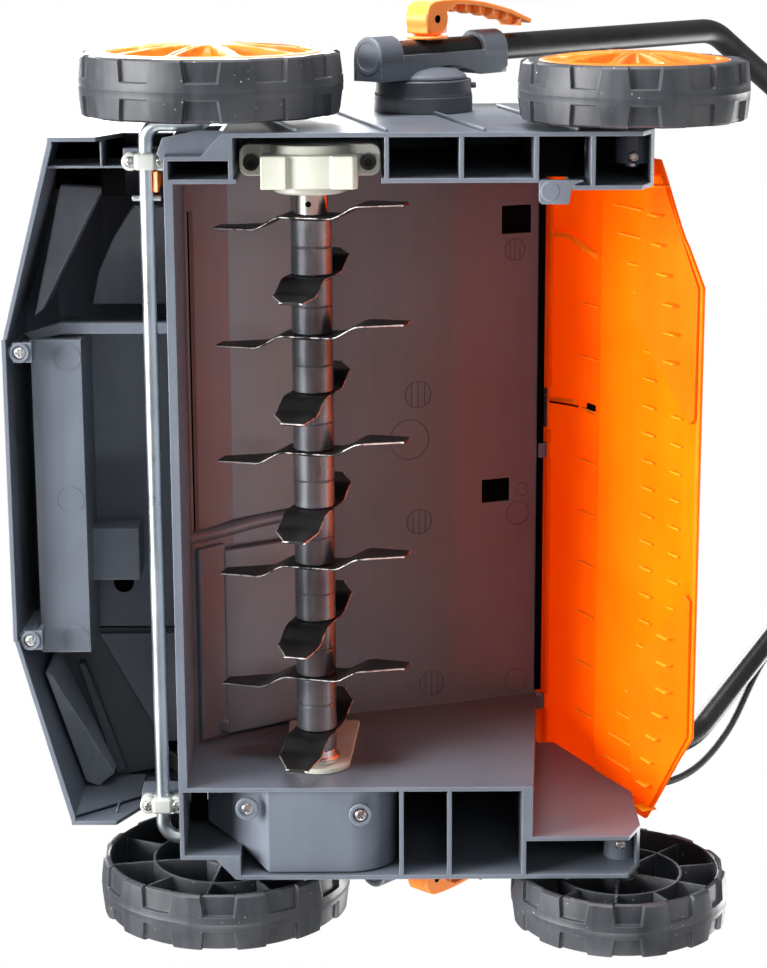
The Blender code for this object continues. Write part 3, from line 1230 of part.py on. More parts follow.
def make_knob(pivot, side, name):
    axis = empty(name + "_axis", (0, FOLD_S, 0), pivot)
    face = TUBE_UPPER_X + TUBE_RADIUS + GAP
    lobes = []
    for i in range(KNOB_LOBES * 4):
        angle = 2 * pi * i / (KNOB_LOBES * 4)
        radius = KNOB_RADIUS * (1 - KNOB_WAVE + KNOB_WAVE * cos(KNOB_LOBES * angle))
        lobes.append((radius * cos(angle), radius * sin(angle)))
    knob = part(name, prism("X", mirrored(side, face + KNOB_NECK, face + KNOB_LENGTH), lobes), axis,
                "black_plastic")
    neck_end = face + KNOB_NECK + JOIN_DEPTH
    bolt_end = upper_x() - TUBE_RADIUS - KNOB_BOLT_END
    join(knob, rod("X", mirrored(side, face, neck_end), (0, 0), KNOB_NECK_RADIUS, 18))
    join(knob, rod("X", mirrored(side, bolt_end, neck_end), (0, 0), CLAMP_BOLT_RADIUS, 16))


def upper_x():
    return TUBE_UPPER_X - 2 * TUBE_RADIUS - LEG_SPACE


def make_upper_handle(pivot):
    fold = empty("fold_axis", (0, FOLD_S, 0), pivot)
    x = upper_x()
    top = HANDLE_LENGTH - FOLD_S
    start = UPPER_START_S - FOLD_S
    path = rounded_path([(x, start, 0), (x, top, 0), (-x, top, 0), (-x, start, 0)], UPPER_CORNER, 4)
    handle = hollow_tube("upper_handle", path, fold)
    cut(handle, rod("X", (-x - 2 * CUT_PAST, x + 2 * CUT_PAST), (0, 0), CLAMP_BOLT_RADIUS + BORE_GAP, 14))
    bail_s = top - BAIL_PIVOT_BELOW_TOP
    cut(handle, rod("X", (x - TUBE_RADIUS - CUT_PAST, x), (bail_s, 0), BAIL_RADIUS + BORE_GAP, 14))
    grip = ring_profile((-GRIP_HALF_LENGTH, GRIP_HALF_LENGTH), TUBE_RADIUS + GAP, TUBE_RADIUS + GRIP_WALL)
    turned_part("grip_sleeve", grip, fold, "foam", steps=28, location=(0, top, 0))
    make_switch_box(fold, x, top)
    make_bail(fold, x, bail_s)


def make_switch_box(fold, x, top):
    low = top - BOX_BELOW_TOP
    span_x = (-x - BOX_OUT, -x + BOX_IN)
    body = part("switch_box", box(span_x, (low, low + BOX_LENGTH), (BOX_LOW_N, BOX_TOP_N)), fold,
                "black_plastic")
    along = (low - CUT_PAST, low + BOX_LENGTH + CUT_PAST)
    cut(body, rod("Y", along, (-x, 0), TUBE_RADIUS + BORE_GAP, 24))
    bail_s = top - BAIL_PIVOT_BELOW_TOP
    bail_hole = (-x + BOX_IN - BAIL_IN_BOX - BAIL_END_ROOM, -x + BOX_IN + CUT_PAST)
    cut(body, rod("X", bail_hole, (bail_s, 0), BAIL_RADIUS + BORE_GAP, 14))
    button = (-x + BUTTON_ASIDE, low + BUTTON_S)
    travel_floor = BOX_TOP_N + BUTTON_PROUD - BUTTON_LENGTH
    well = (travel_floor - BUTTON_TRAVEL, BOX_TOP_N + CUT_PAST)
    cut(body, rod("Z", well, button, BUTTON_RADIUS + BORE_GAP, 20))
    part("lock_button", rod("Z", (travel_floor, travel_floor + BUTTON_LENGTH), button, BUTTON_RADIUS, 20),
         fold, "orange_plastic")


def make_bail(fold, x, bail_s):
    axis = empty("bail_axis", (0, bail_s, 0), fold)
    left = x - TUBE_RADIUS + BAIL_IN_TUBE
    right = -x + BOX_IN - BAIL_IN_BOX
    arm = x - BAIL_INSET
    box_side = -x + BOX_IN + BAIL_BEND + BAIL_BOX_GAP
    corners = [(left, 0, 0), (arm, 0, 0), (arm, BAIL_RISE_S, BAIL_RISE_N),
               (box_side, BAIL_RISE_S, BAIL_RISE_N), (box_side, 0, 0), (right, 0, 0)]
    part("bail_lever", bent_rod(rounded_path(corners, BAIL_BEND, 4), BAIL_RADIUS, 2), axis,
         "orange_plastic")


# Cables

def make_cables(machine):
    gland_at, out = gland_place()
    start = gland_at + out * (GLAND_LENGTH + CABLE_START)
    ahead = gland_at + out * (GLAND_LENGTH + CABLE_STRAIGHT)
    beside = [(tube_line(s) - CABLE_OVER / cos(tube_slant()), s, n) for s, n in CABLE_ON_TUBE]
    route = [(-TUBE_X - outside, y, z) for outside, y, z in CABLE_ROUTE]
    first = [(GLAND_X, *start), (GLAND_X, *ahead), *route,
             *[to_deck(point) for point in beside]]
    part("power_cable", bent_rod(smooth_path(first, CABLE_SPACING), CABLE_RADIUS), machine, "rubber")
    end = (-upper_x() - CABLE_IN_BOX, BOX_S - GAP, CABLE_OVER)
    second = [beside[-1], *[(-x, s, n) for x, s, n in UPPER_CABLE], end]
    path = [to_deck(point) for point in second]
    run = (Vector(path[1]) - Vector(path[0])).normalized() * CABLE_START
    path[0] = Vector(path[0]) + run
    part("handle_cable", bent_rod(smooth_path(path, CABLE_SPACING), CABLE_RADIUS), machine, "rubber")


def tube_slant():
    """The angle by which the lower tubes' middle runs lean inwards."""
    return atan2(TUBE_X - TUBE_UPPER_X, TUBE_UPPER_S - TUBE_BEND_S)


def tube_line(s):
    """The right lower tube's X on its slanted run."""
    return -TUBE_X + (s - TUBE_BEND_S) * tan(tube_slant())


def to_deck(point):
    """A point (X, S, N) of the handle in deck coordinates."""
    x, s, n = point
    return Vector((x, TURRET_Y + s * cos(HANDLE_SLOPE) - n * sin(HANDLE_SLOPE),
                   TURRET_Z + s * sin(HANDLE_SLOPE) + n * cos(HANDLE_SLOPE)))


# The stance

def stance_pitch():
    """The turn about X that brings the front and rear wheels' lowest points to one height."""
    run = REAR_WHEEL_Y - (ROD_Y + CRANK_DY)
    rise = ROD_Z + CRANK_DZ - REAR_WHEEL_RADIUS
    drop = FRONT_WHEEL_RADIUS - REAR_WHEEL_RADIUS
    return acos(drop / hypot(run, rise)) - atan2(run, rise)


def set_on_ground(machine):
    """Moves the machine so that its box's bottom centre is the world's origin."""
    bpy.context.view_layer.update()
    graph = bpy.context.evaluated_depsgraph_get()
    lows = [1e9] * 3
    highs = [-1e9] * 3
    for thing in PARTS.objects:
        if thing.type != "MESH":
            continue
        shape = thing.evaluated_get(graph)
        for vertex in shape.data.vertices:
            place = shape.matrix_world @ vertex.co
            lows = [min(a, b) for a, b in zip(lows, place)]
            highs = [max(a, b) for a, b in zip(highs, place)]
    centre = Vector(((lows[0] + highs[0]) / 2, (lows[1] + highs[1]) / 2, lows[2]))
    machine.location -= centre
    bpy.context.view_layer.update()
    print("moved by", [round(-value, 6) for value in centre], "size",
          [round(b - a, 4) for a, b in zip(lows, highs)])


def main():
    machine = empty("machine", (0, 0, 0), None, stance_pitch())
    make_deck(machine)
    make_hood(machine)
    make_tray(machine)
    make_motor(machine)
    make_belt(machine)
    make_cover(machine)
    make_bearings(machine)
    make_roller(machine)
    make_rear_wheels(machine)
    make_front_axle(machine)
    make_flap(machine)
    make_handle(machine)
    make_cables(machine)
    set_on_ground(machine)


main()
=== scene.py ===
import json
from math import atan2, cos, pi, radians, sin, tan

import bmesh
import bpy
import numpy as np
from bpy.props import FloatProperty, FloatVectorProperty, PointerProperty
from mathutils import Matrix, Vector


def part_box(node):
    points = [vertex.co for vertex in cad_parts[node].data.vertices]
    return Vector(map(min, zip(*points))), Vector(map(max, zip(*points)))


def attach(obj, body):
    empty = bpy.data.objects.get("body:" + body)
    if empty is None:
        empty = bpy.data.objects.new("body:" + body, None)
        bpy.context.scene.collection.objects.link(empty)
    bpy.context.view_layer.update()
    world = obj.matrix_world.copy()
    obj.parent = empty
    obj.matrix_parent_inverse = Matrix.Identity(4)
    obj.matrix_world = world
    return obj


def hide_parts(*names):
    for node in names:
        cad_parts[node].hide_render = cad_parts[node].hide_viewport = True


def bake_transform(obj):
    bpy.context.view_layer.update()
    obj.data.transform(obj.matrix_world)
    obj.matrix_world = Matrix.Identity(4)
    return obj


# The looks of an electric lawn aerator, seen from below as it stands on its side in the photograph.
# Metres. Deck places are (X left, Y rear, Z up) with the deck level; the frame tips it onto its wheels.

bl_info = {
    "name": "Lawn aerator looks",
    "version": (1, 0, 0),
    "blender": (4, 5, 0),
    "location": "3D View > Sidebar > Aerator",
    "description": "Finishes, small fittings, camera and stage for the packed lawn aerator",
    "category": "Add Mesh",
}

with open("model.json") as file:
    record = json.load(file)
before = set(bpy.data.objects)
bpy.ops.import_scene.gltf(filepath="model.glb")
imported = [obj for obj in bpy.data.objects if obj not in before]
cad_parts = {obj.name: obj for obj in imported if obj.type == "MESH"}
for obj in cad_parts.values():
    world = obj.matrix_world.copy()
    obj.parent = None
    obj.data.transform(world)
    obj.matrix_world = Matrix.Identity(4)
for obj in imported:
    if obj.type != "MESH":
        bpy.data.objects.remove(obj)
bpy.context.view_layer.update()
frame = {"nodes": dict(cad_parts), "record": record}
SIDES = ((1, "left"), (-1, "right"))

# Places on the deck
DECK_HALF_WIDTH = 0.260
CHAMBER_LEFT = 0.227
CHAMBER_RIGHT = -0.192
RIM_Z = 0.040
REAR_WHEEL = (0.167, 0.0775)
ROD = (-0.1618, 0.121)
CRANK = (0.0455, -0.006)
CRANK_X = 0.259
ROLLER = (-0.048, 0.088)
CEILING = [(-0.137, 0.130), (-0.109, 0.161), (-0.066, 0.186), (-0.008, 0.205), (0.051, 0.223),
           (0.125, 0.2515)]
FLAP_HINGE = (0.1225, 0.2585)
FLAP_ANGLE = radians(24.5)
TURRET = (0.0295, 0.199)
HANDLE_SLOPE = radians(47)

# Handle, S along the tubes from the turret's axis and N square to them
TUBE_RADIUS = 0.0095
TUBE_BORE = 0.0098
LOWER_X = 0.301
LOWER_TUBE = [(LOWER_X, -0.049), (LOWER_X, 0.350), (0.205, 0.523), (0.205, 0.640)]
UPPER_X = 0.185
UPPER_S = (0.560, 1.010)
FOLD_S = 0.600
BAIL_S = 0.905
CAM_PIVOT = (0.3245, 0.004)

# Roller
BLADE_COUNT = 10
BLADE_INSET = 0.0273
FIRST_BLADE = CHAMBER_LEFT - BLADE_INSET
BLADE_PITCH = (CHAMBER_LEFT - CHAMBER_RIGHT - 2 * BLADE_INSET) / (BLADE_COUNT - 1)


# Places and shapes

def turned(angle, axis=0):
    """A turn about X, or about the axis of that number."""
    a, b = ((1, 2), (2, 0), (0, 1))[axis]
    matrix = np.eye(4)
    matrix[[a, a, b, b], [a, b, a, b]] = cos(angle), -sin(angle), sin(angle), cos(angle)
    return matrix


def moved(x, y, z):
    matrix = np.eye(4)
    matrix[:3, 3] = (x, y, z)
    return matrix


def flipped(side):
    """Nothing for the left side (1), a mirror in X for the right (-1)."""
    return np.diag([side, 1.0, 1.0, 1.0])


def middle(node):
    """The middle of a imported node's box."""
    low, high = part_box(node)
    return np.array((low + high) / 2)


def deck_place():
    """The deck's turn and shift in the frame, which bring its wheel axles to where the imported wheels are."""
    rear = middle("rear_wheel_left")[1:]
    front = middle("front_wheel_left")[1:]
    along = rear - front
    run = np.array([REAR_WHEEL[0] - ROD[0] - CRANK[0], REAR_WHEEL[1] - ROD[1] - CRANK[1]])
    pitch = turned(atan2(along[1], along[0]) - atan2(run[1], run[0]))
    here = pitch[1:3, 1:3] @ np.array(REAR_WHEEL)
    return moved(0, *(rear - here)) @ pitch


DECK = deck_place()
HANDLE = DECK @ moved(0, *TURRET) @ turned(HANDLE_SLOPE)
AXLE = DECK @ moved(0, *ROD)
DRUM = DECK @ moved(0, *ROLLER)
FLAP = DECK @ moved(0, *FLAP_HINGE) @ turned(FLAP_ANGLE)


def placed(points, matrix):
    return points @ matrix[:3, :3].T + matrix[:3, 3]


def grid(points, closed_u=False, closed_v=False):
    """Quads over an array of points (rows, columns, 3); closed joins the last row or column to the first."""
    rows, columns = points.shape[:2]
    index = np.arange(rows * columns).reshape(rows, columns)
    if closed_u:
        index = np.vstack([index, index[:1]])
    if closed_v:
        index = np.hstack([index, index[:, :1]])
    quads = np.stack([index[:-1, :-1], index[1:, :-1], index[1:, 1:], index[:-1, 1:]], axis=-1)
    return points.reshape(-1, 3), [quads.reshape(-1, 4)]


def thick(points, wall):
    """A closed solid from a sheet's points and its copy drawn along the surface's normals by the wall."""
    normal = np.cross(np.gradient(points, axis=0), np.gradient(points, axis=1))
    back = points + wall * normal / np.linalg.norm(normal, axis=-1, keepdims=True)
    verts, faces = grid(np.concatenate([points, back[::-1]]), closed_u=True)
    rows, columns = points.shape[:2]
    for column in (0, columns - 1):
        front = np.arange(rows) * columns + column
        behind = (2 * rows - 1 - np.arange(rows)) * columns + column
        faces.append(np.stack([front[:-1], front[1:], behind[1:], behind[:-1]], axis=1))
    return verts, faces


def capped(points):
    """A grid of rings with its first and last ring closed by a flat face."""
    rows, columns = points.shape[:2]
    verts, faces = grid(points, closed_v=True)
    ends = np.stack([np.arange(columns)[::-1], (rows - 1) * columns + np.arange(columns)])
    return verts, faces + [ends]


def joined(*shapes):
    """Several closed shapes as one."""
    verts, faces, start = [], [], 0
    for points, polygons in shapes:
        verts.append(points)
        faces += [polygon + start for polygon in polygons]
        start += len(points)
    return np.concatenate(verts), faces


def shifted(shape, *matrices):
    """The shape moved by each matrix, as one shape."""
    return joined(*[(placed(shape[0], matrix), shape[1]) for matrix in matrices])


def lathe(profile, sides=64, ring=False):
    """A profile of (X, radius) turned about X: (x, r cos a, r sin a). A ring's profile closes on itself."""
    profile = np.array(profile, float)
    a = np.linspace(0, 2 * pi, sides, endpoint=False)
    x = np.repeat(profile[:, :1], sides, axis=1)
    points = np.stack([x, profile[:, 1:] * np.cos(a), profile[:, 1:] * np.sin(a)], axis=-1)
    return grid(points, closed_u=ring, closed_v=True)


def shaft(x, radius, edge=0.0005, sides=40):
    """A solid round bar along X with chamfered ends."""
    low, high = sorted(x)
    return lathe([(low, 0), (low, radius - edge), (low + edge, radius), (high - edge, radius),
                  (high, radius - edge), (high, 0)], sides)


def chamfered(low, high, bore, radius, edge):
    """A ring's profile from low to high with both outer edges cut."""
    return [(low, bore), (low, radius - edge), (low + edge, radius), (high - edge, radius),
            (high, radius - edge), (high, bore)]


AXES = {"X": [0, 1, 2], "Y": [1, 0, 2], "Z": [2, 1, 0]}


def along(axis, shape):
    """A shape made along X, swapped to lie along another axis."""
    return shape[0][:, AXES[axis]], shape[1]


def pin(axis, centre, span, radius, edge=0.0004, sides=32):
    """A solid round bar along an axis; centre is its place in the other two coordinates, in order."""
    place = list(centre)
    place.insert("XYZ".index(axis), 0)
    return shifted(along(axis, shaft(span, radius, edge, sides)), moved(*place))


def tube(path, radius, up=(0, 1, 0), sides=28):
    """A round section along a path: c + r (cos a n + sin a b), n square to the path and nearest to up."""
    path = np.array(path, float)
    ahead = np.gradient(path, axis=0)
    ahead /= np.linalg.norm(ahead, axis=1, keepdims=True)
    n = np.array(up, float) - (ahead @ np.array(up, float))[:, None] * ahead
    n /= np.linalg.norm(n, axis=1, keepdims=True)
    b = np.cross(ahead, n)
    a = np.linspace(0, 2 * pi, sides, endpoint=False)[None, :, None]
    radius = np.broadcast_to(radius, len(path))[:, None, None]
    return capped(path[:, None] + radius * (np.cos(a) * n[:, None] + np.sin(a) * b[:, None]))


def rounded(corners, radius, steps=12):
    """The corners' path with each inner corner turned as an arc of the radius."""
    corners = [np.array(corner, float) for corner in corners]
    path = [corners[0]]
    for before, corner, after in zip(corners, corners[1:], corners[2:]):
        back = (before - corner) / np.linalg.norm(before - corner)
        ahead = (after - corner) / np.linalg.norm(after - corner)
        half = np.arccos(np.clip(back @ ahead, -1, 1)) / 2
        centre = corner + (back + ahead) / np.linalg.norm(back + ahead) * radius / sin(half)
        start = corner + back * radius / tan(half) - centre
        end = corner + ahead * radius / tan(half) - centre
        sweep = pi - 2 * half
        t = np.linspace(0, 1, steps + 1)[:, None]
        path += list(centre + (start * np.sin((1 - t) * sweep) + end * np.sin(t * sweep)) / sin(sweep))
    path.append(corners[-1])
    return np.array(path)


def smooth(points, spacing):
    """A smooth curve through the points: each run is a cubic whose end slopes follow the runs beside it."""
    points = np.array(points, float)
    runs = np.diff(points, axis=0)
    lengths = np.linalg.norm(runs, axis=1)
    units = runs / lengths[:, None]
    inner = units[:-1] + units[1:]
    slopes = np.vstack([units[:1], inner / np.linalg.norm(inner, axis=1, keepdims=True), units[-1:]])
    path = []
    for index, length in enumerate(lengths):
        t = np.linspace(0, 1, max(1, round(length / spacing)), endpoint=False)[:, None]
        ease = t * t * (3 - 2 * t)
        bow = slopes[index] * (t ** 3 - 2 * t ** 2 + t) + slopes[index + 1] * (t ** 3 - t ** 2)
        path.append(points[index] * (1 - ease) + points[index + 1] * ease + bow * length)
    return np.vstack(path + [points[-1:]])


def block(x, y, z, radius=0.0008, steps=2):
    """A box with round edges: points of a cube's faces, drawn to an inner box and out again by the radius."""
    spans = np.array([sorted(pair) for pair in (x, y, z)], float)
    centre = spans.mean(axis=1)
    half = (spans[:, 1] - spans[:, 0]) / 2
    inner = half - radius
    band = radius * np.tan(np.linspace(0, pi / 4, steps + 1))
    sheets = []
    for axis in range(3):
        a, b = [other for other in range(3) if other != axis]
        u = np.concatenate([-inner[a] - band[::-1], inner[a] + band])
        v = np.concatenate([-inner[b] - band[::-1], inner[b] + band])
        for sign in (1, -1):
            points = np.empty((len(u), len(v), 3))
            points[..., a] = u[:, None]
            points[..., b] = v[None, :]
            points[..., axis] = sign * half[axis]
            core = np.clip(points, -inner, inner)
            out = points - core
            points = core + radius * out / np.linalg.norm(out, axis=-1, keepdims=True)
            sheets.append(grid(points + centre))
    return joined(*sheets)


def prism(outline, span, axis="X"):
    """An outline drawn along an axis: (Y, Z) for X, (Z, X) for Y and (X, Y) for Z."""
    outline = np.array(outline, float)
    low, high = sorted(span)
    ring = np.zeros((2, len(outline), 3))
    first, second = {"X": (1, 2), "Y": (2, 0), "Z": (0, 1)}[axis]
    ring[..., first] = outline[:, 0]
    ring[..., second] = outline[:, 1]
    ring[..., "XYZ".index(axis)] = np.array([low, high])[:, None]
    return capped(ring)


def arc(centre, radius, start, end, steps):
    """Points on a circle from one angle to another, in degrees."""
    a = np.radians(np.linspace(start, end, steps + 1))
    return np.stack([centre[0] + radius * np.cos(a), centre[1] + radius * np.sin(a)], axis=1)


def rounded_box(x, y, radius):
    """The outline of a box with its four corners rounded."""
    (x0, x1), (y0, y1) = x, y
    start = ((x0 + x1) / 2, y0)
    return rounded([start, (x1, y0), (x1, y1), (x0, y1), (x0, y0), start], radius, 8)[:-1]


def step_up(value, low, high):
    """0 below low and 1 above high, eased between."""
    t = np.clip((value - low) / (high - low), 0, 1)
    return t * t * (3 - 2 * t)


def piece(name, shape, matrix, body, finish, replaces=(), bevel=0.0, wall=0.0, slot=None, angle=35,
          worn=None):
    """A named object of the shape, placed by a matrix, on its body, or on none for a piece that runs between
    two.

    Wall gives an open sheet its thickness, behind its face or, where it is negative, in front of it.
    """
    verts, faces = shape
    verts = placed(verts, matrix)
    corners = np.concatenate([face.ravel() for face in faces]).astype(np.int32)
    sizes = np.concatenate([np.full(len(face), face.shape[1]) for face in faces])
    mesh = bpy.data.meshes.new(name)
    mesh.vertices.add(len(verts))
    mesh.vertices.foreach_set("co", verts.astype(np.float32).ravel())
    mesh.loops.add(len(corners))
    mesh.loops.foreach_set("vertex_index", corners)
    mesh.polygons.add(len(sizes))
    mesh.polygons.foreach_set("loop_start", np.concatenate([[0], np.cumsum(sizes)[:-1]]).astype(np.int32))
    mesh.update(calc_edges=True)
    if worn is not None:
        mesh.attributes.new("worn", "FLOAT", "POINT").data.foreach_set("value", worn.astype(np.float32))
    work = bmesh.new()
    work.from_mesh(mesh)
    bmesh.ops.remove_doubles(work, verts=work.verts, dist=1e-6)
    bmesh.ops.recalc_face_normals(work, faces=work.faces)
    work.to_mesh(mesh)
    work.free()
    mesh.shade_smooth()
    mesh.set_sharp_from_angle(angle=radians(angle))
    thing = bpy.data.objects.new(name, mesh)
    bpy.context.scene.collection.objects.link(thing)
    mesh.materials.append(finishes()[finish])
    if wall:
        solid = thing.modifiers.new("wall", "SOLIDIFY")
        solid.thickness = abs(wall)
        solid.offset = -1.0 if wall > 0 else 1.0
        solid.use_even_offset = True
    if bevel:
        edges = thing.modifiers.new("edges", "BEVEL")
        edges.width = bevel
        edges.segments = 2
        edges.limit_method = "ANGLE"
        edges.angle_limit = radians(40)
        edges.harden_normals = True
    if body:
        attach(thing, body)
    if replaces:
        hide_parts(*replaces)
    return thing


def on_deck(name, shape, finish="deck_plastic", replaces=(), **more):
    """A fixed piece at its place on the deck."""
    return piece(name, shape, DECK, "chassis", finish, replaces, **more)


# Node groups

def node(tree, kind, **values):
    made = tree.nodes.new(kind)
    for key, value in values.items():
        setattr(made, key, value)
    return made


def feed(tree, target, value):
    """Sets an input to a number or a colour, or links a socket to it."""
    if isinstance(value, bpy.types.NodeSocket):
        tree.links.new(value, target)
    else:
        target.default_value = (*value, 1.0) if isinstance(value, tuple) else value


def math_node(tree, operation, a, b, clamp=False):
    made = node(tree, "ShaderNodeMath", operation=operation, use_clamp=clamp)
    feed(tree, made.inputs[0], a)
    feed(tree, made.inputs[1], b)
    return made.outputs[0]


def span(tree, value, low, high, to_low=0.0, to_high=1.0):
    made = node(tree, "ShaderNodeMapRange", clamp=True)
    for name, number in (("Value", value), ("From Min", low), ("From Max", high), ("To Min", to_low),
                         ("To Max", to_high)):
        feed(tree, made.inputs[name], number)
    return made.outputs["Result"]


def noise(tree, place, scale, detail=2.0, rough=0.5):
    made = node(tree, "ShaderNodeTexNoise")
    for name, value in (("Vector", place), ("Scale", scale), ("Detail", detail), ("Roughness", rough)):
        feed(tree, made.inputs[name], value)
    return made.outputs["Fac"]


def new_group(name, label, default, outputs):
    """A node group with one number to set and its outputs' kinds: its tree, number, ends and place."""
    tree = bpy.data.node_groups.new(name, "ShaderNodeTree")
    tree.interface.new_socket(name=label, in_out="INPUT",
                              socket_type="NodeSocketFloat").default_value = default
    for output, kind in outputs.items():
        tree.interface.new_socket(name=output, in_out="OUTPUT", socket_type="NodeSocket" + kind)
    return (tree, node(tree, "NodeGroupInput").outputs[label], node(tree, "NodeGroupOutput").inputs,
            node(tree, "ShaderNodeTexCoord").outputs["Object"])


def moulding_group():
    """Moulded skin: a fine peel, soft flow clouds and short drag lines, as a height and a mottle mask."""
    tree, scale, out, place = new_group("moulding", "Grain Scale", 900.0,
                                        {"Height": "Float", "Mottle": "Float"})
    grain = noise(tree, place, scale)
    clouds = noise(tree, place, 14.0, 4.0, 0.6)
    stretch = node(tree, "ShaderNodeMapping")
    stretch.inputs["Scale"].default_value = (3.0, 60.0, 60.0)
    tree.links.new(place, stretch.inputs["Vector"])
    drag = noise(tree, stretch.outputs["Vector"], 3.0, 3.0)
    height, mottle = [math_node(tree, "ADD", math_node(tree, "MULTIPLY", a, share),
                                math_node(tree, "MULTIPLY", b, rest))
                      for a, share, b, rest in ((grain, 0.7, clouds, 0.9), (clouds, 0.75, drag, 0.25))]
    tree.links.new(height, out["Height"])
    tree.links.new(span(tree, mottle, 0.35, 0.65), out["Mottle"])
    return tree


def edge_group():
    """Edge wear, which on the flap's fins is painted highlight: where a rounded normal leaves the true one,
    broken up by noise, a mask and the normal.
    """
    tree, scale, out, place = new_group("edges", "Break Up", 90.0, {"Mask": "Float", "Normal": "Vector"})
    bevel = node(tree, "ShaderNodeBevel", samples=4)
    bevel.inputs["Radius"].default_value = 0.0009
    true_way = node(tree, "ShaderNodeNewGeometry").outputs["True Normal"]
    dot = node(tree, "ShaderNodeVectorMath", operation="DOT_PRODUCT")
    tree.links.new(bevel.outputs["Normal"], dot.inputs[0])
    tree.links.new(true_way, dot.inputs[1])
    edge = span(tree, dot.outputs["Value"], 0.99, 0.80)
    patches = span(tree, noise(tree, place, scale, 3.0), 0.30, 0.60, 0.35, 1.0)
    tree.links.new(math_node(tree, "MULTIPLY", edge, patches), out["Mask"])
    tree.links.new(bevel.outputs["Normal"], out["Normal"])
    return tree


def specks_group():
    """Dust: scattered round specks from the nearest of many random points, kept in a few clouded patches."""
    tree, scale, out, place = new_group("specks", "Scale", 260.0, {"Mask": "Float"})
    cells = node(tree, "ShaderNodeTexVoronoi")
    tree.links.new(place, cells.inputs["Vector"])
    tree.links.new(scale, cells.inputs["Scale"])
    speck = span(tree, cells.outputs["Distance"], 0.16, 0.08)
    chosen = span(tree, cells.outputs["Color"], 0.62, 0.70)
    patch = span(tree, noise(tree, place, 22.0), 0.47, 0.62)
    tree.links.new(math_node(tree, "MULTIPLY", math_node(tree, "MULTIPLY", speck, chosen), patch),
                   out["Mask"])
    return tree


def ground_group():
    """Bare metal on ground edges: the mesh's own worn value, broken up by fine noise."""
    tree, scale, out, place = new_group("ground", "Scale", 160.0, {"Mask": "Float"})
    worn = node(tree, "ShaderNodeAttribute", attribute_name="worn").outputs["Fac"]
    patches = math_node(tree, "SUBTRACT", noise(tree, place, scale, 4.0, 0.6), 0.5)
    sharp = math_node(tree, "ADD", worn, math_node(tree, "MULTIPLY", patches, 1.1))
    near = math_node(tree, "MULTIPLY", span(tree, sharp, 0.62, 0.80), span(tree, worn, 0.15, 0.5))
    tree.links.new(near, out["Mask"])
    return tree


# Finishes

def finish(slot, low, high, rough, bump, grain, edge, wear, dust, **more):
    """A finish's values: slot, two colours that the mottle mixes, roughness at low and high mottle, bump
    height in metres, grain scale, the edges' colour and strength, and dust strength."""
    return dict(slot=slot, colours=(low, high), rough=rough, bump=bump, grain=grain, edge=edge, wear=wear,
                dust=dust, **more)


